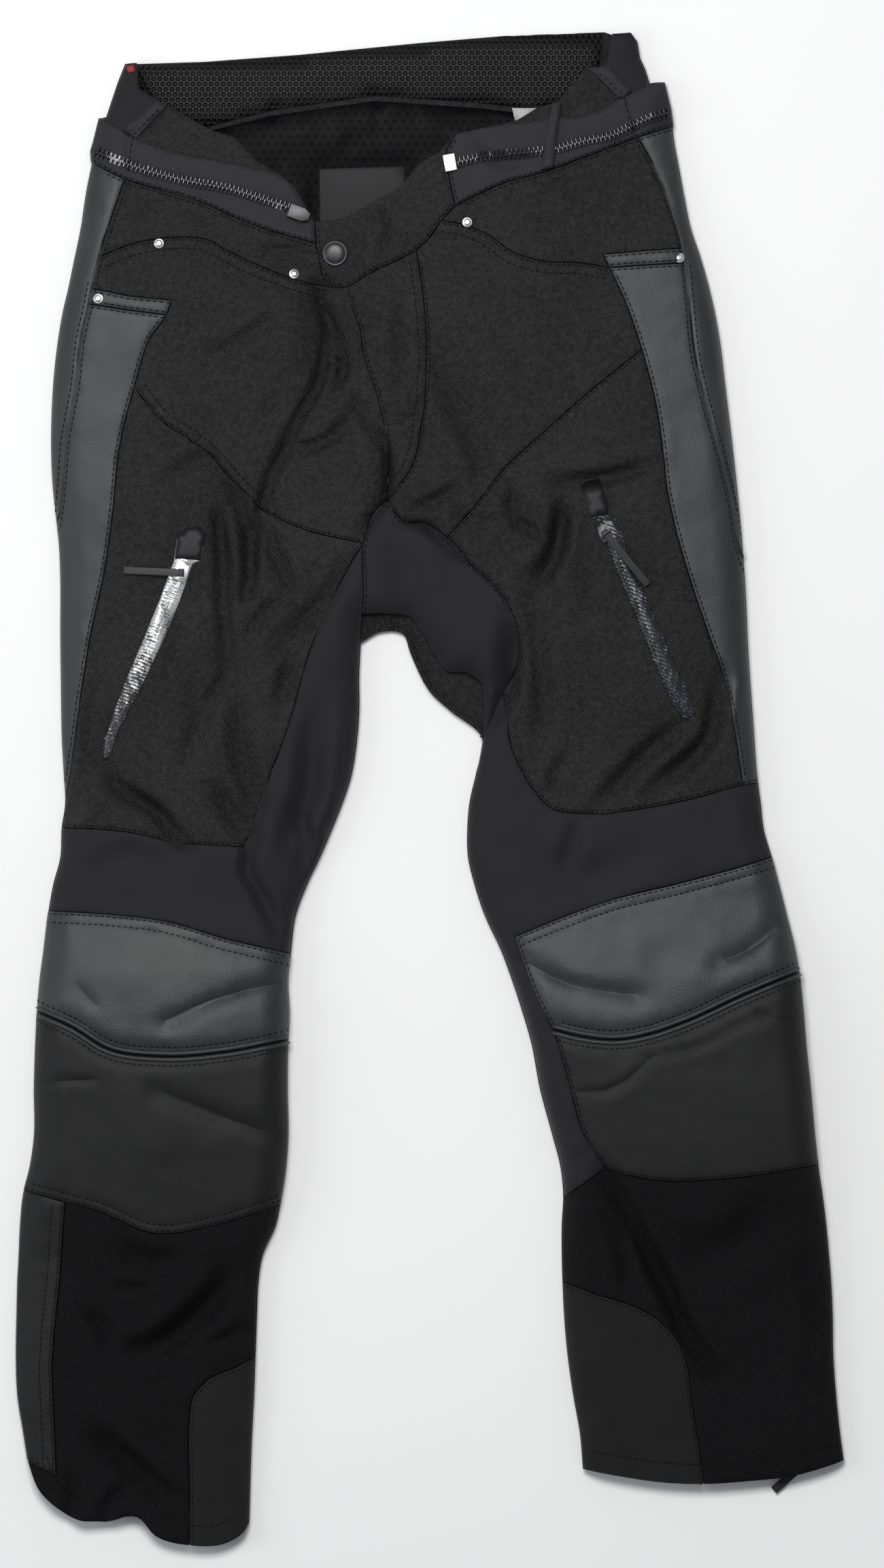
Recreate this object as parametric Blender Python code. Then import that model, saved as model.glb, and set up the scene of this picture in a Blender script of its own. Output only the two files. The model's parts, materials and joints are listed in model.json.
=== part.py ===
"""Motorcycle trousers laid flat on their back, the waist towards +Y.

Every panel of the front is a piece of one surface over the plan of the garment: a crown that is
high along each leg, rolls down to the folded sides and carries the largest folds. The back lies
flat at z = 0. Plan tables are in millimetres, x to the right and y towards the waist. At the end
everything moves by about a millimetre, so that the box is centred on the origin.
"""
import math
from collections import namedtuple

import bmesh
import bpy
import numpy as np
from mathutils import Vector
from mathutils.geometry import delaunay_2d_cdt

MM = 0.001

SEAM_GAP = 0.3
TEXTILE = 2.2
STRETCH = 2.0
LEATHER = 2.4
WAISTBAND = 3.0
TAPE = 1.2
CHAIN = 2.6
STRAP = 1.4
FACING = 2.8
LINING = 1.2
LABEL = 0.6
THIGH_ZIP = 1.8
CHAIN_WIDTH = 7.4
RIVET_RADIUS = 3.6
BUTTON_RADIUS = 9.0
SLIDER_HEIGHT = 3.0
PIVOT_HEIGHT = 5.6
PIN_RADIUS = 0.8
KNUCKLE_RADIUS = 1.9
EAR = 1.2
PULL_WIDTH = 5.0
PULL_THICKNESS = 1.8
HEM_TAB_WIDTH = 6.0
SLIDER_SHAPE = [(-8, -5), (3, -5), (8, -2.5), (8, 2.5), (3, 5), (-8, 5)]
THIGH_SLIDER_SHAPE = [(-6, -3.6), (2, -4.6), (6, -3.4), (6, 3.4), (2, 4.6), (-6, 3.6)]

SIDE_HEIGHT = 6.5
ROLL = 20.0
DOME = 75.0
DOME_SHARE = 0.16
BACK_CURL = 8.0
FRONT_GRID = 24.0
BACK_GRID = 38.0
CURVE_STEP = 18.0
ROLL_LINES = (2.5, 9.0)
LOWEST_INSIDE = 2.8
LOWEST_AT_WAIST = 6.2
WAIST_STARTS = 365.0

Section = namedtuple("Section", "y outer_left inner_left inner_right outer_right")
Crown = namedtuple("Crown", "y height")
Fold = namedtuple("Fold", "height width points")
Panel = namedtuple("Panel", "name seed wall lift slot")
Overlay = namedtuple("Overlay", "name outline low wall slot")

# From the hem up to the crotch a section crosses both legs, above it only the two sides.
SECTIONS = [
    Section(-458.5, -288, -126, 106.5, 291),
    Section(-429.5, -292.5, -124.5, 101.5, 288),
    Section(-401, -293.5, -123.5, 97.5, 286),
    Section(-372, -293, -122.5, 95, 285.5),
    Section(-350, -292.5, -121.5, 94, 284.5),
    Section(-331, -291.5, -118.5, 93.5, 283),
    Section(-309, -290.5, -109, 93.5, 281),
    Section(-288.5, -288.5, -105, 94.5, 278.5),
    Section(-268, -283.5, -102, 92.5, 275.5),
    Section(-246.5, -280.5, -100.5, 87, 273),
    Section(-213, -280.5, -101, 78, 270),
    Section(-179, -279.5, -100.5, 71.5, 266.5),
    Section(-160, -278.5, -99.5, 66, 265),
    Section(-135.5, -276.5, -100.5, 58, 262.5),
    Section(-116.5, -274, -98.5, 51, 259.5),
    Section(-88, -270.5, -94.5, 38, 252.5),
    Section(-68, -267, -87, 31.5, 247.5),
    Section(-49, -262, -78, 27, 242.5),
    Section(-28, -261, -69, 26.5, 236.5),
    Section(-10.5, -258.5, -62, 28, 234.5),
    Section(9.5, -259.5, -55.5, 32.5, 232),
]
INNER_LEFT_TOP = [(-55.5, 9.5), (-52, 30.5), (-50, 54.5), (-50, 81), (-49, 103), (-47.5, 122.5)]
OUTER_LEFT_TOP = [
    (-259.5, 9.5), (-261, 38), (-261.5, 71.5), (-262, 110), (-262, 148.5), (-263, 173),
    (-265, 192), (-267.5, 216), (-268.5, 240.5), (-268, 269), (-266, 298), (-263, 322),
    (-260.5, 336.5), (-256, 356), (-252.5, 373), (-248, 394.5), (-243.5, 423.5), (-239.5, 443.5),
]
OUTER_RIGHT_TOP = [
    (232, 9.5), (229, 49.5), (227, 76.5), (225.5, 100.5), (223.5, 144), (220, 189.5), (215, 238),
    (209, 288.5), (205.5, 317.5), (199.5, 348.5), (191.5, 377.5), (185, 397), (180.5, 418.5),
    (176.5, 440.5), (173, 459.5), (172, 468.5),
]
WAIST_CORNER_LEFT = [
    (-239.5, 443.5), (-240, 451.5), (-238, 458), (-234, 474.5), (-229.5, 475.5), (-221.5, 499.5),
    (-216, 513.5),
]
WAIST_CORNER_RIGHT = [
    (172, 468.5), (170.5, 480.5), (166, 499.5), (156, 499), (152.5, 510), (149, 517.5),
    (147, 529.5),
]
HEM_LEFT = [
    (-285.5, -475), (-276, -498), (-262, -511), (-247.5, -518.5), (-232.5, -519),
    (-206.5, -516.5), (-194, -529.5), (-170, -536), (-143, -534), (-131.5, -526.5),
    (-128, -520.5),
]
HEM_RIGHT = [
    (108.5, -482.5), (136.5, -487.5), (165.5, -491.5), (194, -492.5), (225.5, -490.5),
    (257, -487), (276, -482), (293.5, -476.5),
]
GUSSET_EDGE = [
    (-47.5, 122.5), (-30, 123), (-13.5, 120.5), (-5, 108), (3, 95.5), (10.5, 83.5), (28, 80.5),
    (35.5, 75), (38, 57), (37, 35), (32.5, 9.5),
]
CROTCH_BEHIND = [
    (-49, 103), (-35.5, 110.5), (-18.5, 108.5), (-14.5, 97.5), (-10, 86.5), (0.5, 67.5), (14, 55),
    (37, 35), (32.5, 9.5),
]
FRONT_MOUTH = [
    (-216, 513.5), (-208, 513.5), (-206.5, 496), (-194, 487.5), (-190, 485), (-185.5, 482.5),
    (-173, 475.5), (-154.5, 465.5), (-138.5, 460.5), (-124, 444.5), (-108, 435), (-95.5, 425),
    (-81.5, 400.5), (-60, 403), (-39.5, 415), (-20.5, 425), (-8, 441), (7.5, 450.5),
    (18.5, 462.5), (46, 468.5), (61, 472), (77, 482), (90, 485), (98.5, 495), (105, 503),
    (111.5, 509.5), (118, 510), (125, 511.5), (129.5, 534), (142.5, 535), (147, 529.5),
]
BACK_MOUTH = [
    (-216, 513.5), (-208, 513.5), (-160, 515), (-92.5, 520), (-6, 528.5), (54, 533.5), (124, 536),
    (129.5, 534), (142.5, 535), (147, 529.5),
]

# Seams of the front: a row names a seam, whether it is drawn smooth, and where it runs.
FRONT_SEAMS = [
    ("elastic_left", False, [(-190, 485), (-212, 462.5), (-215, 444.5), (-216, 431)]),
    ("zip_left_low", True, [(-244.5, 446.5), (-239.5, 443.5), (-216, 431), (-193, 424),
                            (-160.5, 414), (-136, 403), (-112, 394), (-92.5, 388.5), (-80.5, 385)]),
    ("piping_left", True, [(-216, 431), (-223.5, 409), (-234.5, 375.5), (-239.5, 353.5),
                           (-241.5, 342.5), (-247, 318.5), (-251, 283.5), (-258, 246),
                           (-261, 211.5), (-264, 189.5), (-270, 175)]),
    ("band_left_top", False, [(-239.5, 353.5), (-213, 348), (-182.5, 345)]),
    ("band_left_low", False, [(-241.5, 342.5), (-213, 338), (-186.5, 334.5)]),
    ("leather_left", True, [(-182.5, 345), (-186.5, 334.5), (-197.5, 318.5), (-209, 283.5),
                            (-219.5, 240.5), (-224, 197), (-229.5, 157), (-239.5, 110.5),
                            (-248, 58.5), (-253, 24), (-257.5, -0.5), (-265, -17.5)]),
    ("pocket_left", True, [(-234.5, 375.5), (-213, 384), (-192, 388.5), (-174.5, 389.5),
                           (-158, 388), (-142, 379.5), (-124, 371), (-101.5, 362), (-85.5, 357),
                           (-71, 354)]),
    ("diagonal_left", True, [(-209, 283.5), (-190, 260), (-169.5, 246), (-153, 232.5),
                             (-137.5, 214), (-116.5, 196), (-87.5, 182.5), (-47, 173)]),
    ("crotch_left", True, [(-31, 203.5), (-38, 196), (-44, 185), (-47, 173), (-47, 143.5),
                           (-47.5, 122.5)]),
    ("stretch_left", True, [(-47, 173), (-54, 162), (-66.5, 139.5), (-77, 117.5), (-87, 91),
                            (-95.5, 59.5), (-105, 30.5), (-115, 4), (-124.5, -20), (-131, -41.5)]),
    ("stretch_left_low", True, [(-271, -27.5), (-218, -30.5), (-177.5, -38.5), (-131, -41.5)]),
    ("knee_left_top", True, [(-277.5, -86.5), (-222.5, -89.5), (-186.5, -94), (-145.5, -106),
                             (-98.5, -117.5), (-88.5, -120.5)]),
    ("knee_left_mid", True, [(-285.5, -154.5), (-251.5, -169.5), (-227.5, -184), (-189, -189.5),
                             (-145.5, -186.5), (-93.5, -176.5)]),
    ("knee_left_low", True, [(-296, -282), (-258, -292.5), (-238.5, -297.5), (-192, -315),
                             (-154, -309.5), (-98.5, -292)]),
    ("flap_left", False, [(-258, -292.5), (-262, -349.5), (-266, -386.5), (-267.5, -410.5),
                          (-266, -449), (-264.5, -487)]),
    ("flap_left_low", False, [(-293, -471.5), (-275, -482), (-264.5, -487)]),
    ("guard_left", True, [(-115.5, -398), (-134.5, -409), (-157, -419), (-167.5, -431),
                          (-170, -449), (-170, -492.5), (-170, -545.5)]),
    ("tab_left", False, [(-81.5, 400.5), (-80.5, 385), (-76, 362.5), (-71, 354), (-58, 354.5)]),
    ("band_right_low", True, [(-58, 354.5), (-39.5, 365.5), (-19, 375), (-9.5, 380.5),
                              (-1, 388.5), (8.5, 401.5), (18, 412)]),
    ("fly_edge", True, [(-58, 354.5), (-55, 339), (-50, 327), (-47, 308), (-43, 293.5),
                        (-38, 281), (-34.5, 267), (-31, 250), (-29, 226), (-31, 203.5)]),
    ("fly_stitch", True, [(-9.5, 380.5), (-5, 351), (-2, 308), (-5, 264.5), (-13.5, 226),
                          (-31, 203.5)]),
    ("zip_right_end", False, [(18.5, 462.5), (12, 451.5), (12, 441.5), (15, 426), (18, 412)]),
    ("zip_right_low", True, [(18, 412), (54, 428.5), (78, 435), (114, 448), (147.5, 460.5),
                             (172, 468.5), (178.5, 470)]),
    ("elastic_right", False, [(118, 510), (139, 490.5), (143.5, 474), (147.5, 460.5)]),
    ("piping_right", True, [(147.5, 460.5), (155.5, 446.5), (162, 433.5), (171.5, 409.5),
                            (179.5, 382), (181, 371.5), (183.5, 346.5), (187.5, 307.5),
                            (195, 274), (206, 235), (213.5, 204), (219, 173), (229.5, 141.5)]),
    ("band_right_top", False, [(122.5, 377.5), (151, 380), (179.5, 382)]),
    ("band_right_pocket", False, [(127, 368), (153.5, 370), (181, 371.5)]),
    ("leather_right", True, [(122.5, 377.5), (127, 368), (138.5, 343.5), (150, 310),
                             (160.5, 268.5), (165.5, 232.5), (167.5, 213.5), (174.5, 181),
                             (185, 145), (197.5, 108.5), (208, 78), (216, 41.5), (222, 2)]),
    ("pocket_right", True, [(8.5, 401.5), (26.5, 398), (42.5, 390.5), (59, 379), (81, 372.5),
                            (105, 371.5), (127, 368)]),
    ("diagonal_right", True, [(150, 310), (117.5, 284), (81, 252), (52.5, 225.5), (28, 195),
                              (11.5, 176.5)]),
    ("gusset_top", True, [(-31, 203.5), (-18.5, 189), (-3, 186.5), (11.5, 176.5), (31.5, 155.5),
                          (45.5, 143.5), (56, 128.5), (61.5, 112.5), (62.5, 98), (59.5, 82),
                          (52, 67), (43.5, 50), (33.5, 28)]),
    ("stretch_right", True, [(52, 67), (54.5, 47.5), (58, 28), (64.5, 13.5), (73.5, -1.5),
                             (84.5, -13), (117.5, -18), (153.5, -14), (184, -8), (222, 2),
                             (240, 5)]),
    ("knee_right_top", True, [(60, -105), (90.5, -92.5), (123.5, -80.5), (177.5, -67),
                              (213.5, -57.5), (250.5, -46.5)]),
    ("knee_right_side", True, [(60, -105), (65.5, -122), (78, -153), (87, -170.5), (96.5, -201.5),
                               (111, -249), (123.5, -269.5)]),
    ("knee_right_mid", True, [(87, -170.5), (105, -175), (134.5, -177.5), (156, -173.5),
                              (178, -166), (221, -146.5), (273, -125)]),
    ("knee_right_low", True, [(123.5, -269.5), (159.5, -277), (214, -275.5), (282.5, -265)]),
    ("calf_right", False, [(123.5, -269.5), (107.5, -280.5), (87, -294)]),
    ("guard_right", True, [(86, -347), (118, -358.5), (149.5, -369), (170, -384.5), (181, -405.5),
                           (185.5, -436.5), (190, -463.5), (194, -492.5), (195.5, -502)]),
]

# Seams of the back.
BACK_SEAMS = [
    ("yoke", True, [(-261, 399.5), (-160, 411.5), (-34.5, 417.5), (81, 418.5), (194, 411.5)]),
    ("seat", True, [(-34.5, 417.5), (-31, 269), (-28, 148.5), (-27, 95.5)]),
    ("knee_left", True, [(-290, -193.5), (-189, -208), (-87.5, -188.5)]),
    ("knee_right", True, [(57, -203), (167.5, -213), (281, -179)]),
]

# Height of the crown above the floor along the garment.
CROWNS = [
    Crown(-550, 15), Crown(-478, 16), Crown(-396, 19), Crown(-333.5, 21), Crown(-294.5, 26),
    Crown(-251.5, 31), Crown(-213, 33.5), Crown(-174, 34.5), Crown(-131, 32), Crown(-102, 27),
    Crown(-78, 23), Crown(-20, 22), Crown(52.5, 23), Crown(148.5, 24), Crown(245, 24),
    Crown(341.5, 23), Crown(414, 21), Crown(471.5, 18), Crown(539, 15),
]

# Folds: troughs have a negative height, the width is the spread of the bell across the line.
FOLDS = [
    Fold(-7.5, 9, [(-75, 346.5), (-75, 308), (-81.5, 275.5), (-96, 246.5), (-107, 214),
                   (-116, 180.5)]),
    Fold(3.5, 12, [(-97.5, 341.5), (-96.5, 298), (-106, 264.5), (-120.5, 230.5)]),
    Fold(-4, 6, [(-70.5, 335), (-61, 308.5), (-62.5, 293.5)]),
    Fold(-3, 6, [(-95, 239), (-77, 244.5), (-64, 254.5), (-55, 261)]),
    Fold(-5, 7, [(-55, 293.5), (-50.5, 275.5), (-35, 251.5), (-30, 240.5), (-28.5, 221.5),
                 (-33, 202.5), (-44, 186)]),
    Fold(-4.5, 8, [(-68.5, 353.5), (-63.5, 344)]),
    Fold(-3, 6, [(19, 211.5), (4, 204), (-10.5, 196)]),
    Fold(-3, 6, [(-17.5, 188), (2.5, 184)]),
    Fold(-4.5, 8, [(-148.5, 200), (-145.5, 154), (-144, 102), (-140, 79)]),
    Fold(-4, 7, [(-135, 201.5), (-125.5, 173), (-127, 144), (-136, 110)]),
    Fold(3, 9, [(-138.5, 173), (-137.5, 144), (-140, 115)]),
    Fold(-4, 8, [(-118, 182.5), (-102, 148), (-90.5, 125)]),
    Fold(-4, 9, [(-83.5, 122), (-97, 103), (-102, 58.5)]),
    Fold(-3, 9, [(-131.5, 81.5), (-132.5, 9.5), (-137, -16.5)]),
    Fold(-5.5, 7, [(-229.5, 38.5), (-231, 18), (-218, 3.5), (-192, -19.5), (-174.5, -38.5)]),
    Fold(3, 10, [(-201, 23.5), (-178.5, -3), (-160, -27)]),
    Fold(-4, 8, [(138.5, 221), (114.5, 217.5), (89, 214)]),
    Fold(-4.5, 8, [(92, 181), (83.5, 158.5), (76.5, 139.5)]),
    Fold(-3, 9, [(73, 114), (76, 81), (79, 49.5)]),
    Fold(-5, 9, [(200.5, 75), (195, 41.5), (177.5, 16), (156.5, -2.5)]),
    Fold(-4, 9, [(174.5, 52), (155.5, 26), (136, 2.5)]),
    Fold(3, 10, [(182, 42.5), (167.5, 23.5), (148.5, 4)]),
    Fold(-4.5, 8, [(62.5, 98), (59.5, 82), (52, 67), (43.5, 50)]),
    Fold(-3, 11, [(4, 332), (13.5, 288.5), (28, 245)]),
    Fold(-2.5, 9, [(-160.5, 411.5), (-136, 397), (-112, 382.5), (-92.5, 370.5)]),
    Fold(-3, 5, [(-278.5, -157.5), (-251.5, -169.5), (-227.5, -184), (-189, -189.5),
                 (-145.5, -186.5), (-100.5, -178)]),
    Fold(-2.5, 5, [(-186.5, -166), (-138.5, -145.5), (-104.5, -137)]),
    Fold(-2.5, 5, [(-194, -214), (-160, -227.5), (-110, -244)]),
    Fold(-3, 5, [(87, -169.5), (134.5, -176.5), (178, -165.5), (221, -146), (262, -129.5)]),
    Fold(-2.5, 5, [(65.5, -122), (105, -142), (147, -147)]),
    Fold(-2.5, 5, [(250, -87.5), (234.5, -106), (203.5, -123.5)]),
    Fold(-3.5, 9, [(-145.5, -348), (-165, -376.5), (-184, -405.5)]),
    Fold(-3.5, 9, [(-232.5, -467.5), (-207.5, -495.5), (-174.5, -511.5)]),
    Fold(-4, 9, [(123.5, -280.5), (158, -333.5), (182, -386.5), (196.5, -415)]),
]

# Zips, loops and straps lie on the panels.
TAPE_LEFT_TOP = [
    (-243, 477.5), (-234, 474.5), (-217.5, 465.5), (-212, 462.5), (-207.5, 459.5), (-185.5, 451),
    (-160, 445.5), (-136, 441), (-108, 435), (-95.5, 425), (-81.5, 400.5),
]
TAPE_LEFT_LOW = [
    (-244.5, 446.5), (-239.5, 443.5), (-216, 431), (-193, 424), (-160.5, 414), (-136, 403),
    (-112, 394), (-92.5, 388.5), (-80.5, 385),
]
CHAIN_LEFT = [
    (-236, 450.5), (-222, 444.5), (-206.5, 438.5), (-173, 429.5), (-142, 423.5), (-117.5, 416),
    (-98.5, 410),
]
TAPE_RIGHT_TOP = [
    (18.5, 462.5), (46, 468.5), (69, 471), (89, 474.5), (102, 474), (121.5, 480), (139, 490.5),
    (156, 499), (166, 499.5), (172.5, 501.5),
]
TAPE_RIGHT_LOW = [
    (18, 412), (54, 428.5), (78, 435), (114, 448), (147.5, 460.5), (172, 468.5), (178.5, 470),
]
TAPE_RIGHT_END = [(12, 451.5), (12, 441.5), (15, 426)]
CHAIN_RIGHT = [
    (20, 442.5), (42, 447), (73.5, 450), (87.5, 451.5), (109.5, 457.5), (132, 462.5),
    (150, 471.5), (167, 477.5),
]
LOOP_LEFT = [(-194, 487.5), (-185.5, 482.5), (-207, 459), (-217.5, 465.5)]
LOOP_RIGHT = [(111.5, 509.5), (125, 511.5), (143, 493), (134.5, 487)]
KEEPER_RIGHT = [(86.5, 484), (93, 485.5), (90, 459.5), (87, 437), (79, 437), (81.5, 459.5)]
THIGH_ZIP_LEFT = [
    (-181, 161), (-178.5, 177.5), (-171.5, 184.5), (-162, 184.5), (-158.5, 178.5),
    (-161.5, 160.5), (-167.5, 158.5), (-176.5, 132), (-189, 103), (-202.5, 74), (-214, 52.5),
    (-223.5, 33), (-227.5, 19.5), (-232, 20), (-230.5, 35.5), (-222.5, 57), (-215, 76.5),
    (-202.5, 105.5), (-191, 134),
]
THIGH_ZIP_RIGHT = [
    (107.5, 213.5), (110.5, 216.5), (120, 218), (126, 201), (126, 193), (132.5, 190),
    (141, 165.5), (153.5, 134), (170, 95.5), (183, 67), (188.5, 52.5), (181, 47.5), (172.5, 57),
    (160.5, 83.5), (146, 122), (131.5, 156), (119.5, 188.5), (113, 191),
]
FACING_OUTLINE = [
    (-207, 512), (-160, 514), (-92.5, 519), (-6, 527.5), (54, 532.5), (122.5, 535.5),
    (119.5, 505.5), (105, 486), (81, 480.5), (33, 486), (-39.5, 491), (-112, 480.5),
    (-160, 468.5), (-191.5, 478.5), (-205, 491),
]
LINING_OUTLINE = [
    (-184, 466), (-160, 465.5), (-112, 477), (-39.5, 487.5), (33, 482.5), (81, 477), (100.5, 467),
    (81, 438), (33, 414), (-6, 385), (-54, 370.5), (-97.5, 380), (-131, 409), (-165, 438),
]
LABEL_OUTLINE = [(-78.5, 439), (-18, 441), (-15.5, 399.5), (-78, 392)]
HEM_TAB = [(244, -498), (262, -482)]
RIVETS = [(-191.5, 385), (-96, 363.5), (-234.5, 346), (26.5, 400), (176.5, 375)]
BUTTON = (-67, 378)
WAIST_SLIDER = (-90.5, 407)
WAIST_SLIDER_POINTS_TO = (-63.5, 397)
END_BOX = (14.5, 442)
SLIDER_LEFT = (-175.5, 152)
SLIDER_LEFT_POINTS_TO = (-189, 112.5)
PULL_LEFT_TIP = (-216.5, 154)
SLIDER_RIGHT = (124, 180)
SLIDER_RIGHT_POINTS_TO = (141, 141.5)
PULL_RIGHT_TIP = (154, 143.5)
FRONT_PANELS = [
    Panel("elastic_left", (-218, 486), STRETCH, 0, "stretch"),
    Panel("waistband_left", (-160, 455), WAISTBAND, 0, "textile"),
    Panel("yoke_left", (-179.5, 399.5), TEXTILE, 0, "textile"),
    Panel("side_strip_left", (-244.5, 399.5), LEATHER, 0, "leather"),
    Panel("pocket_band_left", (-213, 343), LEATHER, 0.4, "leather"),
    Panel("side_leather_left", (-237, 269), LEATHER, 0, "leather"),
    Panel("hip_left", (-136, 317.5), TEXTILE, 0, "textile"),
    Panel("thigh_left", (-184, 76.5), TEXTILE, 0, "textile"),
    Panel("gusset", (-15.5, 148.5), STRETCH, 0, "stretch"),
    Panel("stretch_left", (-160, -68), STRETCH, 0, "stretch"),
    Panel("knee_upper_left", (-189, -140.5), LEATHER, 0.6, "leather"),
    Panel("knee_lower_left", (-189, -261), LEATHER, 0.6, "leather"),
    Panel("shin_left", (-194, -381.5), TEXTILE, 0, "textile"),
    Panel("zip_flap_left", (-278, -381.5), LEATHER, 0.4, "leather"),
    Panel("ankle_guard_left", (-150.5, -478), LEATHER, 0.2, "suede"),
    Panel("waistband_right", (-25, 394.5), WAISTBAND, 0.8, "textile"),
    Panel("fly", (-20, 317.5), TEXTILE, 0.6, "textile"),
    Panel("hip_right", (61.5, 317.5), TEXTILE, 0, "textile"),
    Panel("yoke_right", (81, 404), TEXTILE, 0, "textile"),
    Panel("waistband_side_right", (61.5, 447.5), WAISTBAND, 0, "textile"),
    Panel("elastic_right", (143.5, 510), STRETCH, 0, "stretch"),
    Panel("side_strip_right", (176, 414), LEATHER, 0, "leather"),
    Panel("pocket_band_right", (153.5, 375), LEATHER, 0.4, "leather"),
    Panel("side_leather_right", (182, 269), LEATHER, 0, "leather"),
    Panel("thigh_right", (105, 100.5), TEXTILE, 0, "textile"),
    Panel("stretch_right", (129, -44), STRETCH, 0, "stretch"),
    Panel("knee_upper_right", (153.5, -116.5), LEATHER, 0.6, "leather"),
    Panel("knee_lower_right", (177.5, -222.5), LEATHER, 0.6, "leather"),
    Panel("shin_right", (177.5, -333.5), TEXTILE, 0, "textile"),
    Panel("ankle_guard_right", (143.5, -429.5), LEATHER, 0.2, "suede"),
]
BACK_PANELS = [
    Panel("back_waist", (-34.5, 462), TEXTILE, 0, "textile"),
    Panel("back_seat_left", (-160, 221), TEXTILE, 0, "textile"),
    Panel("back_seat_right", (105, 221), TEXTILE, 0, "textile"),
    Panel("back_calf_left", (-208, -357.5), TEXTILE, 0, "textile"),
    Panel("back_calf_right", (177.5, -357.5), TEXTILE, 0, "textile"),
]


def line_through(points, smooth=True, step=CURVE_STEP):
    """Sample a line through plan points; the points themselves are always kept."""
    given = np.array(points, float)
    spans = np.hypot(*np.diff(given, axis=0).T)
    slopes = np.diff(given, axis=0) / spans[:, None]
    before, after = spans[:-1, None], spans[1:, None]
    middle = (slopes[1:] * before + slopes[:-1] * after) / (before + after)
    tangents = np.vstack([slopes[:1], middle, slopes[-1:]])
    sampled = []
    for i, span in enumerate(spans):
        pieces = max(1, round(span / step))
        for t in np.arange(pieces) / pieces:
            lean = (1 - t) * (tangents[i] - slopes[i]) - t * (tangents[i + 1] - slopes[i])
            bend = span * t * (1 - t) * lean if smooth else 0
            sampled.append(given[i] + t * (given[i + 1] - given[i]) + bend)
    sampled.append(given[-1])
    return np.array(sampled)


def beside(line, distance):
    """The line moved sideways, to its left for a positive distance."""
    run = np.gradient(line, axis=0)
    run /= np.hypot(*run.T)[:, None]
    return line + distance * np.column_stack([-run[:, 1], run[:, 0]])


def distance_to(lines, points):
    """Distance from each plan point to the nearest of several lines."""
    best = np.full(len(points), np.inf)
    for line in lines:
        for start, run in zip(line[:-1], np.diff(line, axis=0)):
            along = np.clip((points - start) @ run / max(run @ run, 1e-9), 0, 1)
            gap = points - start - along[:, None] * run
            best = np.minimum(best, np.hypot(gap[:, 0], gap[:, 1]))
    return best


def inside(outline, points):
    """True for each plan point within a closed outline."""
    result = np.zeros(len(points), bool)
    for (ax, ay), (bx, by) in zip(outline, np.roll(outline, -1, axis=0)):
        if ay == by:
            continue
        crosses = (ay > points[:, 1]) != (by > points[:, 1])
        result ^= crosses & (points[:, 0] < ax + (points[:, 1] - ay) * (bx - ax) / (by - ay))
    return result


def column(name):
    """One edge of the legs from the section table, from the hem up."""
    return [(getattr(section, name), section.y) for section in SECTIONS]


def outer_side(column_name, hem_point, top, corner):
    """An outer side from the hem to the waist."""
    leg = line_through([hem_point, *column(column_name), *top[1:]])
    return np.vstack([leg, line_through(corner, smooth=False)[1:]])


OUTER_LEFT = outer_side("outer_left", HEM_LEFT[0], OUTER_LEFT_TOP, WAIST_CORNER_LEFT)
OUTER_RIGHT = outer_side("outer_right", HEM_RIGHT[-1], OUTER_RIGHT_TOP, WAIST_CORNER_RIGHT)
INNER_LEFT = line_through([HEM_LEFT[-1], *column("inner_left"), *INNER_LEFT_TOP[1:]])
INNER_LEFT_BEHIND = line_through([HEM_LEFT[-1], *column("inner_left"), *INNER_LEFT_TOP[1:-1]])
INNER_RIGHT = line_through([HEM_RIGHT[0], *column("inner_right")])[::-1]
GUSSET = line_through(GUSSET_EDGE, smooth=False)
CROTCH = line_through(CROTCH_BEHIND, smooth=False)
HEMS = [line_through(hem, smooth=False) for hem in (HEM_LEFT, HEM_RIGHT)]
FRONT_SIDES = [OUTER_LEFT[::-1], np.vstack([INNER_LEFT, GUSSET[1:], INNER_RIGHT[1:]]), OUTER_RIGHT]
BACK_SIDES = [OUTER_LEFT[::-1], np.vstack([INNER_LEFT_BEHIND, CROTCH[1:], INNER_RIGHT[1:]]), OUTER_RIGHT]


def closed_outline(sides, mouth):
    """Down the left side, round both legs, up the right side and back along the waist."""
    waist = line_through(mouth, smooth=False)[::-1]
    parts = [sides[0], HEMS[0], sides[1], HEMS[1], sides[2], waist]
    return np.vstack([part[:-1] for part in parts])


def roll_height(points, sides, crowns):
    """Height of the front without folds: a crown that rolls down to the folded sides."""
    away = distance_to(sides, points)
    steep = 1 - np.clip(away / ROLL, 0, 1)
    broad = 1 - DOME_SHARE * (1 - np.clip(away / DOME, 0, 1)) ** 2
    return SIDE_HEIGHT + (crowns * broad - SIDE_HEIGHT) * np.sqrt(1 - steep ** 2)


def front_height(points):
    """Height of the front's outer face over plan points."""
    stations = sorted(CROWNS, key=lambda crown: crown.y)
    crowns = np.interp(points[:, 1], [c.y for c in stations], [c.height for c in stations])
    for fold in FOLDS:
        line = line_through(fold.points, step=6)
        crowns = crowns + fold.height * np.exp(-0.5 * (distance_to([line], points) / fold.width) ** 2)
    return roll_height(points, FRONT_SIDES, crowns)


def back_height(points):
    """Height of the back's outer face: flat on the floor, curling up at the sides."""
    steep = 1 - np.clip(distance_to(BACK_SIDES, points) / BACK_CURL, 0, 1)
    return (SIDE_HEIGHT - SEAM_GAP) * (1 - np.sqrt(1 - steep ** 2))


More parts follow.
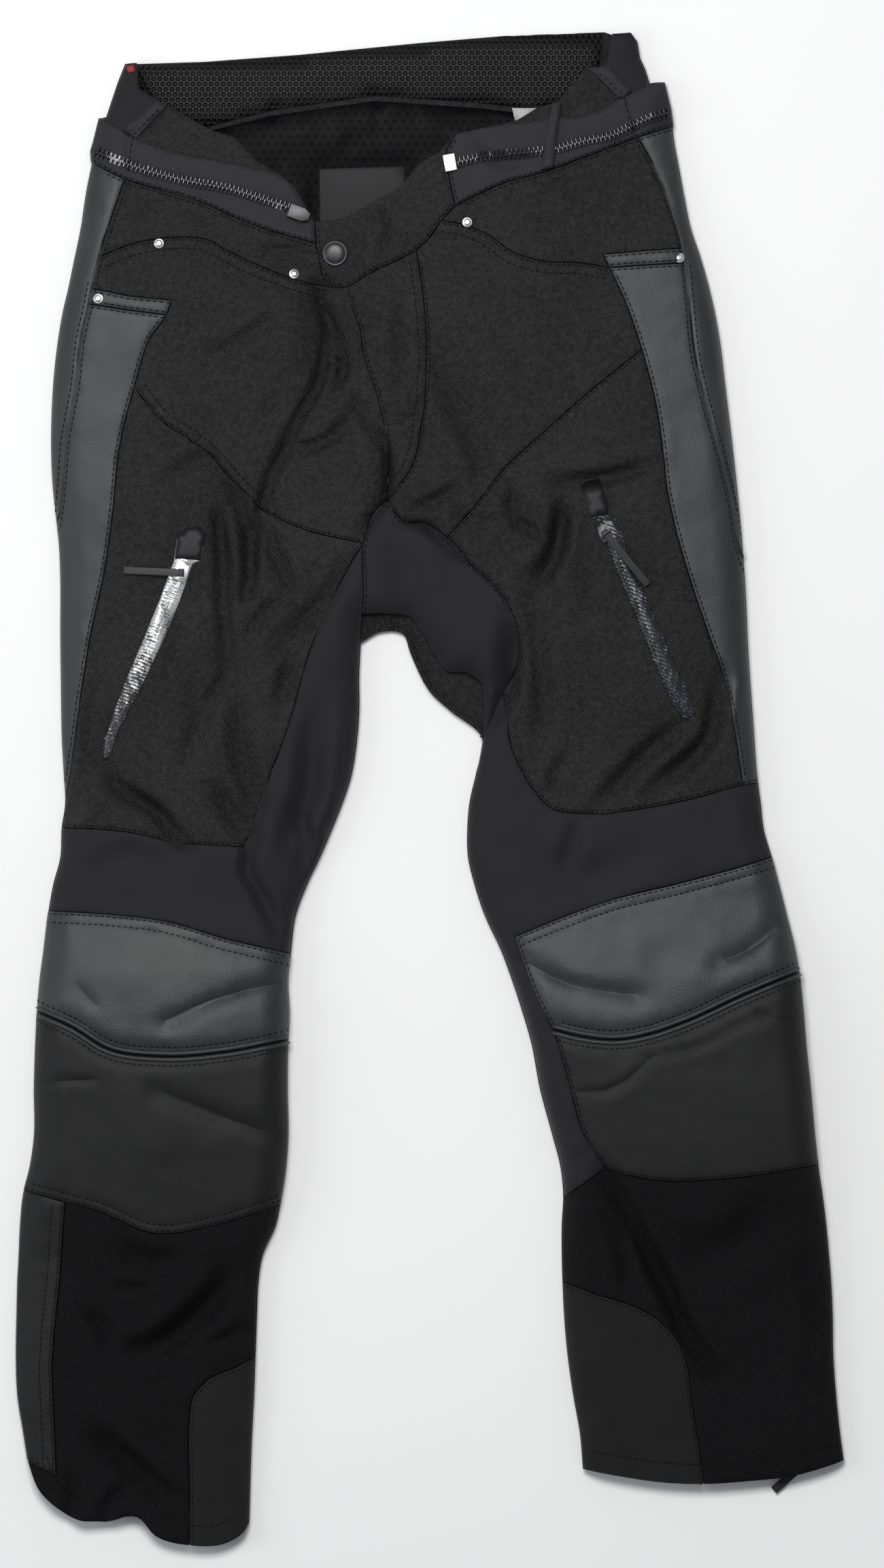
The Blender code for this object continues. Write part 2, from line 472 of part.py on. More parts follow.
class PlanMap:
    """Triangles over the plan, cut along every seam and along the outline of every overlay."""

    def __init__(self, outline, sides, height, seams, marks, grid, extra):
        self.points, self.edges, self.blocking = [], [], set()
        self.outline, self.sides, self.height = outline, sides, height
        self.index_of = {}
        self.add_line(np.vstack([outline, outline[:1]]), blocks=True)
        for seam in seams:
            self.add_line(seam, blocks=True)
        for mark in marks:
            self.add_line(np.vstack([mark, mark[:1]]), blocks=False)
        self.add_loose(extra, grid)
        self.triangulate()
        self.lift()

    def add_point(self, point):
        key = (round(float(point[0]), 3), round(float(point[1]), 3))
        if key not in self.index_of:
            self.index_of[key] = len(self.points)
            self.points.append(key)
        return self.index_of[key]

    def add_line(self, line, blocks):
        ids = [self.add_point(point) for point in line]
        for a, b in zip(ids[:-1], ids[1:]):
            if a != b:
                if blocks:
                    self.blocking.add(len(self.edges))
                self.edges.append((a, b))

    def keep(self, candidates, room):
        """Add the candidate points that lie inside, clear of the points so far."""
        candidates = np.array(candidates)
        candidates = candidates[inside(self.outline, candidates)]
        for point in candidates:
            placed = np.array(self.points)
            if np.hypot(*(placed - point).T).min() >= room:
                self.add_point(point)

    def add_loose(self, extra, grid):
        for depth, room in zip(ROLL_LINES, (0.8, 5.0)):
            rim = []
            for side in self.sides:
                both = np.vstack([beside(side, depth), beside(side, -depth)])
                rim.extend(both[distance_to(self.sides, both) > 0.96 * depth])
            self.keep(rim, room)
        if len(extra):
            self.keep(extra, 6.5)
        low, high = self.outline.min(axis=0), self.outline.max(axis=0)
        rows = np.arange(low[1], high[1], grid * math.sqrt(0.75))
        lattice = [(x + grid / 2 * (k % 2), y)
                   for k, y in enumerate(rows) for x in np.arange(low[0], high[0], grid)]
        self.keep(lattice, 0.55 * grid)

    def triangulate(self):
        result = delaunay_2d_cdt([Vector(p) for p in self.points], self.edges, [], 0, 1e-4, True)
        self.plan = np.array([tuple(v) for v in result[0]])
        blocked = set()
        for (a, b), origins in zip(result[1], result[4]):
            if any(o in self.blocking for o in origins):
                blocked.add((min(a, b), max(a, b)))
        faces = []
        for face in result[2]:
            a, b, c = (self.plan[i] for i in face)
            area = (b[0] - a[0]) * (c[1] - a[1]) - (b[1] - a[1]) * (c[0] - a[0])
            faces.append(tuple(face) if area > 0 else tuple(reversed(face)))
        centres = np.array([self.plan[list(face)].mean(axis=0) for face in faces])
        keep = inside(self.outline, centres)
        self.faces = [face for face, good in zip(faces, keep) if good]
        self.centres = centres[keep]
        self.blocked = blocked
        self.by_edge = {}
        for i, face in enumerate(self.faces):
            for a, b in zip(face, face[1:] + face[:1]):
                self.by_edge.setdefault((min(a, b), max(a, b)), []).append(i)

    def lift(self):
        """Height and outward direction of every point, for an outer face that looks up."""
        nudge = 0.4
        steps = [np.array(step) * nudge for step in ((1, 0), (-1, 0), (0, 1), (0, -1))]
        east, west, north, south = (self.height(self.plan + step) for step in steps)
        slope = np.column_stack([east - west, north - south]) / (2 * nudge)
        self.normal = np.column_stack([-slope, np.ones(len(slope))])
        self.z = self.height(self.plan)
        rim = distance_to(self.sides, self.plan) < 0.05
        self.z[rim] = self.height_at_rim()
        inward = self.outline_directions()
        for i in np.flatnonzero(rim):
            self.normal[i] = (-inward[i][0], -inward[i][1], 0) if i in inward else (0, 0, 1)
        self.normal /= np.linalg.norm(self.normal, axis=1)[:, None]

    def height_at_rim(self):
        return SIDE_HEIGHT if self.height is front_height else SIDE_HEIGHT - SEAM_GAP

    def outline_directions(self):
        """Mean inward direction at each point of the outer boundary."""
        inward = {}
        for (a, b), owners in self.by_edge.items():
            if len(owners) == 1:
                face = self.faces[owners[0]]
                start, end = (a, b) if (face.index(b) - face.index(a)) % 3 == 1 else (b, a)
                run = self.plan[end] - self.plan[start]
                across = np.array([-run[1], run[0]]) / np.hypot(*run)
                for i in (start, end):
                    inward[i] = inward.get(i, np.zeros(2)) + across
        return {i: v / max(np.hypot(*v), 1e-9) for i, v in inward.items()}

    def region(self, seed):
        """The triangles of one panel: everything reached from the seed without crossing a seam."""
        first = int(np.argmin(np.hypot(*(self.centres - np.array(seed)).T)))
        reached, waiting = {first}, [first]
        while waiting:
            face = self.faces[waiting.pop()]
            for a, b in zip(face, face[1:] + face[:1]):
                key = (min(a, b), max(a, b))
                if key in self.blocked:
                    continue
                for other in self.by_edge[key]:
                    if other not in reached:
                        reached.add(other)
                        waiting.append(other)
        return sorted(reached)

    def within(self, outline):
        """The triangles covered by an overlay."""
        return [int(i) for i in np.flatnonzero(inside(np.array(outline, float), self.centres))]

    def rims(self, faces):
        """Boundary edges of some triangles, and how far each boundary point moves for the seam gap."""
        chosen, moves, edges = set(faces), {}, []
        for i in faces:
            face = self.faces[i]
            for a, b in zip(face, face[1:] + face[:1]):
                owners = self.by_edge[(min(a, b), max(a, b))]
                if sum(owner in chosen for owner in owners) == 1:
                    edges.append((a, b))
                    if len(owners) == 2:
                        run = self.plan[b] - self.plan[a]
                        across = np.array([-run[1], run[0]]) / np.hypot(*run)
                        for k in (a, b):
                            moves.setdefault(k, []).append(across)
        shift = {}
        for k, ways in moves.items():
            total = sum(ways)
            spread = max(total @ total / len(ways), 0.35)
            shift[k] = SEAM_GAP / 2 * total / spread if len(ways) > 1 else SEAM_GAP / 2 * total
        return edges, shift

    def sheet(self, name, faces, low, high, slot, floor=None):
        """A closed wall over some triangles between two offsets along the outward direction."""
        edges, shift = self.rims(faces)
        used = sorted({i for f in faces for i in self.faces[f]})
        place = {i: k for k, i in enumerate(used)}
        base = np.column_stack([self.plan[used], self.z[used]])
        for k, i in enumerate(used):
            if i in shift:
                base[k, :2] += shift[i]
        top, bottom = base + high * self.normal[used], base + low * self.normal[used]
        if floor is not None:
            bottom[:, 2] = np.maximum(bottom[:, 2], floor(self.plan[used]))
        bm = bmesh.new()
        upper = [bm.verts.new(p * MM) for p in top]
        lower = [bm.verts.new(p * MM) for p in bottom]
        for f in faces:
            a, b, c = (place[i] for i in self.faces[f])
            bm.faces.new((upper[a], upper[b], upper[c]))
            bm.faces.new((lower[c], lower[b], lower[a]))
        for a, b in edges:
            i, j = place[a], place[b]
            bm.faces.new((upper[j], upper[i], lower[i], lower[j]))
        bmesh.ops.triangulate(bm, faces=[face for face in bm.faces if len(face.verts) > 3])
        return finish_object(name, bm, slot)

    def skin(self, points, offset):
        """Points on the outer face, moved out, straight over or under the given plan points."""
        found = []
        for point in points:
            for i in np.argsort(np.hypot(*(self.centres - point).T))[:24]:
                a, b, c = (self.plan[k] for k in self.faces[i])
                whole = np.column_stack([b - a, c - a])
                u, v = np.linalg.solve(whole, point - a)
                if u >= -1e-6 and v >= -1e-6 and u + v <= 1 + 1e-6:
                    ids = list(self.faces[i])
                    share = np.array([1 - u - v, u, v])
                    tilt = share @ self.normal[ids]
                    found.append((*point, share @ self.z[ids] + offset / max(tilt[2], 0.3)))
                    break
        return np.array(found)


def finish_object(name, bm, slot):
    """Make the mesh an object with its material."""
    mesh = bpy.data.meshes.new(name)
    bm.to_mesh(mesh)
    bm.free()
    made = bpy.data.objects.new(name, mesh)
    bpy.context.collection.objects.link(made)
    mesh.materials.append(material(slot))
    return made


# Colour, roughness and metallic value of each material.
SLOTS = {
    "textile": ((0.018, 0.018, 0.020), 0.75, 0.0),
    "stretch": ((0.014, 0.014, 0.022), 0.80, 0.0),
    "leather": ((0.045, 0.050, 0.056), 0.42, 0.0),
    "suede": ((0.026, 0.027, 0.030), 0.90, 0.0),
    "mesh": ((0.012, 0.012, 0.014), 0.70, 0.0),
    "webbing": ((0.020, 0.020, 0.024), 0.65, 0.0),
    "zip_plastic": ((0.015, 0.015, 0.017), 0.35, 0.0),
    "rubber": ((0.022, 0.022, 0.024), 0.60, 0.0),
    "steel": ((0.62, 0.62, 0.63), 0.25, 1.0),
    "dark_metal": ((0.05, 0.05, 0.055), 0.40, 1.0),
}


def material(slot):
    """The material of a slot, made once."""
    if slot in bpy.data.materials:
        return bpy.data.materials[slot]
    made = bpy.data.materials.new(slot)
    made.use_nodes = True
    shader = made.node_tree.nodes["Principled BSDF"]
    colour, rough, metal = SLOTS[slot]
    shader.inputs["Base Color"].default_value = (*colour, 1)
    shader.inputs["Roughness"].default_value = rough
    shader.inputs["Metallic"].default_value = metal
    return made


def seat(plan_map, centre, along, reach, offset):
    """A frame resting on the skin: its middle, its forward, side and up directions."""
    centre = np.array(centre, float)
    around = [np.array((math.cos(a), math.sin(a))) for a in np.arange(16) * math.tau / 16]
    ring = plan_map.skin([centre + reach * way for way in around], offset)
    middle = ring.mean(axis=0)
    up = np.linalg.svd(ring - middle)[2][2]
    up *= math.copysign(1, up[2])
    forward = np.array([*(np.array(along, float) - centre), 0.0])
    forward -= forward @ up * up
    forward /= np.linalg.norm(forward)
    near = [centre + r * reach * way for way in around for r in (0.25, 0.6, 1.0)]
    proud = max((plan_map.skin([centre, *near], offset) - middle) @ up)
    return middle + (proud + SEAM_GAP) * up, forward, np.cross(up, forward), up


def place(frame, local):
    """A point given along the forward, side and up directions of a frame."""
    middle, forward, side, up = frame
    return middle + local[0] * forward + local[1] * side + local[2] * up


def turned(name, frame, profile, sides, slot):
    """A round solid about the frame's up direction; the profile runs (radius, height) upwards."""
    bm = bmesh.new()
    rings = []
    for radius, height in profile:
        angles = np.arange(sides) * math.tau / sides
        rings.append([bm.verts.new(place(frame, (radius * math.cos(a), radius * math.sin(a), height)) * MM)
                      for a in angles])
    for low, high in zip(rings[:-1], rings[1:]):
        for k in range(sides):
            n = (k + 1) % sides
            bm.faces.new((low[k], low[n], high[n], high[k]))
    bm.faces.new(rings[0][::-1])
    bm.faces.new(rings[-1])
    made = finish_object(name, bm, slot)
    made.data.shade_smooth()
    made.data.set_sharp_from_angle(angle=math.radians(35))
    return made


def slab(name, frame, outline, low, high, slot):
    """An outline in the frame's forward and side directions, raised from low to high."""
    bm = bmesh.new()
    bottom = [bm.verts.new(place(frame, (x, y, low)) * MM) for x, y in outline]
    top = [bm.verts.new(place(frame, (x, y, high)) * MM) for x, y in outline]
    bm.faces.new(bottom[::-1])
    bm.faces.new(top)
    for k in range(len(outline)):
        n = (k + 1) % len(outline)
        bm.faces.new((bottom[k], bottom[n], top[n], top[k]))
    return finish_object(name, bm, slot)


def join(body, others):
    """Unite the other solids with the body by Boolean; they stay as hidden guides."""
    for other in others:
        other.hide_render = True
        other.display_type = "WIRE"
        joint = body.modifiers.new(other.name, "BOOLEAN")
        joint.operation = "UNION"
        joint.solver = "EXACT"
        joint.object = other


def fold_points():
    """Points along the folds and on both flanks, so that the triangles follow them."""
    points = []
    for fold in FOLDS:
        line = line_through(fold.points, step=16)
        points.extend(line)
        if abs(fold.height) >= 4:
            points.extend(beside(line, 1.5 * fold.width))
            points.extend(beside(line, -1.5 * fold.width))
    return points


def chain_outline(centre):
    """The band of zip teeth along its middle line."""
    line = line_through(centre)
    return np.vstack([beside(line, CHAIN_WIDTH / 2), beside(line, -CHAIN_WIDTH / 2)[::-1]])


def front_overlays():
    """What is sewn onto the front: tapes, teeth, loops, the keeper over the zip and the thigh zips."""
    tape_left = np.vstack([line_through(TAPE_LEFT_TOP, smooth=False), line_through(TAPE_LEFT_LOW)[::-1]])
    tape_right = np.vstack([line_through(TAPE_RIGHT_TOP, smooth=False), line_through(TAPE_RIGHT_LOW)[::-1],
                            np.array(TAPE_RIGHT_END[::-1], float)])
    on_tape = SEAM_GAP + TAPE + SEAM_GAP
    return [
        Overlay("zip_tape_left", tape_left, SEAM_GAP, TAPE, "webbing"),
        Overlay("zip_tape_right", tape_right, SEAM_GAP, TAPE, "webbing"),
        Overlay("zip_teeth_left", chain_outline(CHAIN_LEFT), on_tape, CHAIN, "zip_plastic"),
        Overlay("zip_teeth_right", chain_outline(CHAIN_RIGHT), on_tape, CHAIN, "zip_plastic"),
        Overlay("belt_loop_left", np.array(LOOP_LEFT, float), on_tape, STRAP, "webbing"),
        Overlay("belt_loop_right", np.array(LOOP_RIGHT, float), on_tape, STRAP, "webbing"),
        Overlay("zip_keeper_right", np.array(KEEPER_RIGHT, float), on_tape + CHAIN + SEAM_GAP, STRAP,
                "webbing"),
        Overlay("thigh_zip_left", np.array(THIGH_ZIP_LEFT, float), SEAM_GAP, THIGH_ZIP, "steel"),
        Overlay("thigh_zip_right", np.array(THIGH_ZIP_RIGHT, float), SEAM_GAP, THIGH_ZIP, "zip_plastic"),
    ]


def inner_floor(points):
    """How low the front's inner face may come: just clear of the back and of its facing."""
    return np.where(points[:, 1] > WAIST_STARTS, LOWEST_AT_WAIST, LOWEST_INSIDE)


def build_front():
    overlays = front_overlays()
    front = PlanMap(
        closed_outline(FRONT_SIDES, FRONT_MOUTH), FRONT_SIDES, front_height,
        [line_through(points, smooth) for _, smooth, points in FRONT_SEAMS],
        [overlay.outline for overlay in overlays], FRONT_GRID, fold_points(),
    )
    for panel in FRONT_PANELS:
        faces = front.region(panel.seed)
        front.sheet(panel.name, faces, panel.lift - panel.wall, panel.lift, panel.slot, inner_floor)
    for overlay in overlays:
        faces = front.within(overlay.outline)
        front.sheet(overlay.name, faces, overlay.low, overlay.low + overlay.wall, overlay.slot)
    return front


def build_back():
    back = PlanMap(
        closed_outline(BACK_SIDES, BACK_MOUTH), BACK_SIDES, back_height,
        [line_through(points, smooth) for _, smooth, points in BACK_SEAMS],
        [np.array(outline, float) for outline in (FACING_OUTLINE, LINING_OUTLINE, LABEL_OUTLINE)],
        BACK_GRID, [],
    )
    for panel in BACK_PANELS:
        back.sheet(panel.name, back.region(panel.seed), 0, panel.wall, panel.slot)
    on_back = TEXTILE + SEAM_GAP
    back.sheet("waist_facing", back.within(FACING_OUTLINE), on_back, on_back + FACING, "mesh")
    back.sheet("lining", back.within(LINING_OUTLINE), on_back, on_back + LINING, "mesh")
    on_lining = on_back + LINING + SEAM_GAP
    back.sheet("label", back.within(LABEL_OUTLINE), on_lining, on_lining + LABEL, "webbing")
    return back


def build_hardware(front):
    rivet = [(RIVET_RADIUS, 0), (RIVET_RADIUS, 0.5), (0.8 * RIVET_RADIUS, 1.1), (0.4 * RIVET_RADIUS, 1.4)]
    for k, centre in enumerate(RIVETS, start=1):
        frame = seat(front, centre, (centre[0] + 10, centre[1]), RIVET_RADIUS, 0.4)
        turned(f"rivet_{k}", frame, rivet, 14, "steel")
    button = [(BUTTON_RADIUS, 0), (BUTTON_RADIUS, 1.6), (0.9 * BUTTON_RADIUS, 2.6),
              (0.6 * BUTTON_RADIUS, 2.9)]
    frame = seat(front, BUTTON, (BUTTON[0] + 10, BUTTON[1]), BUTTON_RADIUS, 0.8)
    turned("snap_button", frame, button, 20, "dark_metal")
    on_chain = SEAM_GAP + TAPE + SEAM_GAP + CHAIN
    frame = seat(front, WAIST_SLIDER, WAIST_SLIDER_POINTS_TO, 7, on_chain)
    slab("waist_zip_slider", frame, SLIDER_SHAPE, 0, 3.4, "dark_metal")
    frame = seat(front, END_BOX, CHAIN_RIGHT[1], 4, SEAM_GAP + TAPE)
    slab("zip_end_box", frame, [(-4.5, -6), (4, -6), (4, 6), (-4.5, 6)], 0, 3.2, "steel")


def build_pull(front, name, zip_outline, centre, points_to, tip, slot):
    """A thigh zip's slider with its bail, and the pull tab that swings on the bail."""
    frame = seat(front, centre, points_to, 5.5, SEAM_GAP + THIGH_ZIP)
    body = slab(f"slider_{name}", frame, THIGH_SLIDER_SHAPE, 0, SLIDER_HEIGHT, slot)
    pivot = place(frame, (0, 0, PIVOT_HEIGHT))
    towards = np.array([*(np.array(tip, float) - pivot[:2]), 0.0])
    length = np.linalg.norm(towards)
    towards /= length
    across = np.cross(towards, (0, 0, 1.0))
    reach = np.linspace(0.15, 1, 9)
    below = np.array([pivot[:2] + r * length * towards[:2] + w * across[:2]
                      for r in reach for w in (-PULL_WIDTH / 2, 0, PULL_WIDTH / 2)])
    on_zip = inside(np.array(zip_outline, float), below) * (SEAM_GAP + THIGH_ZIP)
    beneath = np.array([front.skin([point], lift)[0][2] for point, lift in zip(below, on_zip)])
    drop = (pivot[2] - beneath - PULL_THICKNESS - SEAM_GAP) / np.repeat(reach * length, 3)
    slope = min(drop.min(), 0.2)
    along = (towards - (0, 0, slope)) / math.hypot(1, slope)
    up = np.cross(across, along)
    ears = []
    pin_frame = (pivot, np.array(along), np.array(up), np.array(across))
    for k, sign in enumerate((-1, 1)):
        middle = sign * (PULL_WIDTH / 2 + SEAM_GAP + EAR / 2)
        ear_frame = (pivot + middle * across, np.array(towards), np.array((0, 0, 1.0)), np.array(across))
        outline = [(-1.4, -PIVOT_HEIGHT + 0.9), (1.4, -PIVOT_HEIGHT + 0.9), (1.4, 1.2), (-1.4, 1.2)]
        ears.append(slab(f"guide_ear_{name}_{k}", ear_frame, outline, -EAR / 2, EAR / 2, slot))
    half = PULL_WIDTH / 2 + SEAM_GAP + EAR / 2
    pin = [(PIN_RADIUS * math.cos(a), PIN_RADIUS * math.sin(a)) for a in np.arange(8) * math.tau / 8]
    ears.append(slab(f"guide_pin_{name}", pin_frame, pin, -half, half, slot))
    join(body, ears)
    pull_tab(f"pull_{name}", pin_frame, length)
    return pivot, across


def pull_tab(name, frame, length):
    """The tab in side view, a knuckle round the pin and a flat tail, given its width."""
    knuckle, hole, thick = KNUCKLE_RADIUS, PIN_RADIUS + SEAM_GAP, PULL_THICKNESS
    start = math.asin(thick / 2 / knuckle)
    angles = np.linspace(start, math.tau - start, 12)
    outer = [(knuckle * math.cos(a), knuckle * math.sin(a)) for a in angles]
    outer += [(length, -thick / 2), (length, thick / 2)]
    inner = [(hole * math.cos(a), hole * math.sin(a)) for a in np.arange(10) * math.tau / 10]
    points = [Vector(p) for p in outer + inner]
    n = len(outer)
    edges = [(k, (k + 1) % n) for k in range(n)] + [(n + k, n + (k + 1) % 10) for k in range(10)]
    result = delaunay_2d_cdt(points, edges, [], 0, 1e-6, True)
    plan = np.array([tuple(v) for v in result[0]])
    faces = []
    for face in result[2]:
        centre = plan[list(face)].mean(axis=0)[None]
        if inside(np.array(outer), centre)[0] and not inside(np.array(inner), centre)[0]:
            a, b, c = plan[list(face)]
            turn = (b[0] - a[0]) * (c[1] - a[1]) - (b[1] - a[1]) * (c[0] - a[0])
            faces.append(tuple(face) if turn > 0 else tuple(reversed(face)))
    bm = bmesh.new()
    low = [bm.verts.new(place(frame, (x, y, -PULL_WIDTH / 2)) * MM) for x, y in plan]
    high = [bm.verts.new(place(frame, (x, y, PULL_WIDTH / 2)) * MM) for x, y in plan]
    counts = {}
    for a, b, c in faces:
        bm.faces.new((high[a], high[b], high[c]))
        bm.faces.new((low[c], low[b], low[a]))
        for i, j in ((a, b), (b, c), (c, a)):
            counts[(i, j)] = True
    for i, j in counts:
        if (j, i) not in counts:
            bm.faces.new((high[j], high[i], low[i], low[j]))
    bmesh.ops.recalc_face_normals(bm, faces=bm.faces)
    return finish_object(name, bm, "rubber")


def build_hem_tab():
    """The fabric tab of the hem zip, lying out under the right hem."""
    outer, inner = (np.array(point, float) for point in HEM_TAB)
    run = (inner - outer) / np.hypot(*(inner - outer))
    frame = (np.array([*outer, TEXTILE + SEAM_GAP]), np.array([*run, 0]), np.array([-run[1], run[0], 0]),
             np.array((0, 0, 1.0)))
    length = np.hypot(*(inner - outer))
    half = HEM_TAB_WIDTH / 2
    slab("hem_tab", frame, [(0, -half), (length, -half), (length, half), (0, half)], 0, STRAP, "webbing")


def centre_on_origin():
    """Move every solid so that the garment's box is centred on the origin; it already stands on z = 0."""
    points = np.array([corner.co for made in bpy.data.objects for corner in made.data.vertices]) / MM
    middle = (points.max(axis=0) + points.min(axis=0)) / 2
    middle[2] = 0
    for made in bpy.data.objects:
        for corner in made.data.vertices:
            corner.co -= Vector(middle * MM)
    return middle


def main():
    for made in list(bpy.data.objects):
        bpy.data.objects.remove(made, do_unlink=True)
    front = build_front()
    build_back()
    build_hardware(front)
    joints = {
        "left": build_pull(front, "left", THIGH_ZIP_LEFT, SLIDER_LEFT, SLIDER_LEFT_POINTS_TO,
                           PULL_LEFT_TIP, "steel"),
        "right": build_pull(front, "right", THIGH_ZIP_RIGHT, SLIDER_RIGHT, SLIDER_RIGHT_POINTS_TO,
                            PULL_RIGHT_TIP, "dark_metal"),
    }
    build_hem_tab()
    middle = centre_on_origin()
    print("the box was moved by", np.round(-middle, 4), "mm")
    for name, (pivot, axis) in joints.items():
        print("pull", name, "turns at", np.round((pivot - middle) * MM, 5), "about", np.round(axis, 4))


main()
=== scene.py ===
# %% [markdown]
# # Motorcycle trousers laid flat
#
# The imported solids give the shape; this script dresses them. Every front panel is a piece of one
# fine surface over the plan of the garment, with the same crown, rolled sides and large folds as
# the solids. Creases, puckered seams, stitches, zip teeth, rivets and the weave are added here.
# Lengths in the tables are in millimetres; objects are in metres.

# %% Load the frame
import json
import math
from collections import namedtuple

import bmesh
import bpy
import numpy as np
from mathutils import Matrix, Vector, noise
from mathutils.bvhtree import BVHTree
from mathutils.geometry import delaunay_2d_cdt
from mathutils.kdtree import KDTree

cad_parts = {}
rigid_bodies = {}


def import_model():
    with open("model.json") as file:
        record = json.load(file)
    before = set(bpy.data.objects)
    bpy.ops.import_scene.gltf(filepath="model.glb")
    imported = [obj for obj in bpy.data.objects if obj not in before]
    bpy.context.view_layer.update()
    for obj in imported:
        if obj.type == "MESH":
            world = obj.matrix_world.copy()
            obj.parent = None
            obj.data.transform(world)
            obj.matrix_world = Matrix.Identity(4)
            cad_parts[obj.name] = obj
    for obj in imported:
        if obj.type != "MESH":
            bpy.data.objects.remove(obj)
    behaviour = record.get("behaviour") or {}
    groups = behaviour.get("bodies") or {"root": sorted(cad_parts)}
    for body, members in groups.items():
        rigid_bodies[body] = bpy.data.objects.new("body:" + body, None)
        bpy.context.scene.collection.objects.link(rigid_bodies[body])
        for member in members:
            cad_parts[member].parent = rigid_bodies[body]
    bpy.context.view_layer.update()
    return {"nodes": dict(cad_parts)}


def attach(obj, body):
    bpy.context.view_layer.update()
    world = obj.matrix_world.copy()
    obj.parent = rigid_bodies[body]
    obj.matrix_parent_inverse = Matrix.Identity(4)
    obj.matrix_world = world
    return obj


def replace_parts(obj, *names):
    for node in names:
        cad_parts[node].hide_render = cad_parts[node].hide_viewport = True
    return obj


for start_up in list(bpy.data.objects):
    bpy.data.objects.remove(start_up)
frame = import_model()

# %% [markdown]
# ## The pattern
# The same tables as in the part's source, in millimetres from the middle of the garment. First
# come the walls of the cloths, and how the surface rolls down to the folded sides.

# %% Walls and rolls
MM = 0.001

SEAM_GAP = 0.3
TEXTILE = 2.2
STRETCH = 2.0
LEATHER = 2.4
WAISTBAND = 3.0
TAPE = 1.2
CHAIN = 2.6
STRAP = 1.4
FACING = 2.8
LINING = 1.2
LABEL = 0.6

SIDE_HEIGHT = 6.5
ROLL = 20.0
DOME = 75.0
DOME_SHARE = 0.16
BACK_CURL = 8.0
LOWEST_INSIDE = 2.8
LOWEST_AT_WAIST = 6.2
WAIST_STARTS = 365.0
print("walls from", LABEL, "to", WAISTBAND, "mm, seams", SEAM_GAP, "mm wide")

# %% [markdown]
# ### Outlines
# A section row gives both edges of both legs at one height. Lists of points carry the sides up to
# the waist, round the hems and along the open mouth of the waist, for the front and the back.

# %% Outlines
Section = namedtuple("Section", "y outer_left inner_left inner_right outer_right")

# From the hem up to the crotch a section crosses both legs, above it only the two sides.
SECTIONS = [
    Section(-458.5, -288, -126, 106.5, 291),
    Section(-429.5, -292.5, -124.5, 101.5, 288),
    Section(-401, -293.5, -123.5, 97.5, 286),
    Section(-372, -293, -122.5, 95, 285.5),
    Section(-350, -292.5, -121.5, 94, 284.5),
    Section(-331, -291.5, -118.5, 93.5, 283),
    Section(-309, -290.5, -109, 93.5, 281),
    Section(-288.5, -288.5, -105, 94.5, 278.5),
    Section(-268, -283.5, -102, 92.5, 275.5),
    Section(-246.5, -280.5, -100.5, 87, 273),
    Section(-213, -280.5, -101, 78, 270),
    Section(-179, -279.5, -100.5, 71.5, 266.5),
    Section(-160, -278.5, -99.5, 66, 265),
    Section(-135.5, -276.5, -100.5, 58, 262.5),
    Section(-116.5, -274, -98.5, 51, 259.5),
    Section(-88, -270.5, -94.5, 38, 252.5),
    Section(-68, -267, -87, 31.5, 247.5),
    Section(-49, -262, -78, 27, 242.5),
    Section(-28, -261, -69, 26.5, 236.5),
    Section(-10.5, -258.5, -62, 28, 234.5),
    Section(9.5, -259.5, -55.5, 32.5, 232),
]
INNER_LEFT_TOP = [(-55.5, 9.5), (-52, 30.5), (-50, 54.5), (-50, 81), (-49, 103), (-47.5, 122.5)]
OUTER_LEFT_TOP = [
    (-259.5, 9.5), (-261, 38), (-261.5, 71.5), (-262, 110), (-262, 148.5), (-263, 173),
    (-265, 192), (-267.5, 216), (-268.5, 240.5), (-268, 269), (-266, 298), (-263, 322),
    (-260.5, 336.5), (-256, 356), (-252.5, 373), (-248, 394.5), (-243.5, 423.5), (-239.5, 443.5),
]
OUTER_RIGHT_TOP = [
    (232, 9.5), (229, 49.5), (227, 76.5), (225.5, 100.5), (223.5, 144), (220, 189.5), (215, 238),
    (209, 288.5), (205.5, 317.5), (199.5, 348.5), (191.5, 377.5), (185, 397), (180.5, 418.5),
    (176.5, 440.5), (173, 459.5), (172, 468.5),
]
WAIST_CORNER_LEFT = [
    (-239.5, 443.5), (-240, 451.5), (-238, 458), (-234, 474.5), (-229.5, 475.5), (-221.5, 499.5),
    (-216, 513.5),
]
WAIST_CORNER_RIGHT = [
    (172, 468.5), (170.5, 480.5), (166, 499.5), (156, 499), (152.5, 510), (149, 517.5),
    (147, 529.5),
]
HEM_LEFT = [
    (-285.5, -475), (-276, -498), (-262, -511), (-247.5, -518.5), (-232.5, -519),
    (-206.5, -516.5), (-194, -529.5), (-170, -536), (-143, -534), (-131.5, -526.5),
    (-128, -520.5),
]
HEM_RIGHT = [
    (108.5, -482.5), (136.5, -487.5), (165.5, -491.5), (194, -492.5), (225.5, -490.5),
    (257, -487), (276, -482), (293.5, -476.5),
]
GUSSET_EDGE = [
    (-47.5, 122.5), (-30, 123), (-13.5, 120.5), (-5, 108), (3, 95.5), (10.5, 83.5), (28, 80.5),
    (35.5, 75), (38, 57), (37, 35), (32.5, 9.5),
]
CROTCH_BEHIND = [
    (-49, 103), (-35.5, 110.5), (-18.5, 108.5), (-14.5, 97.5), (-10, 86.5), (0.5, 67.5), (14, 55),
    (37, 35), (32.5, 9.5),
]
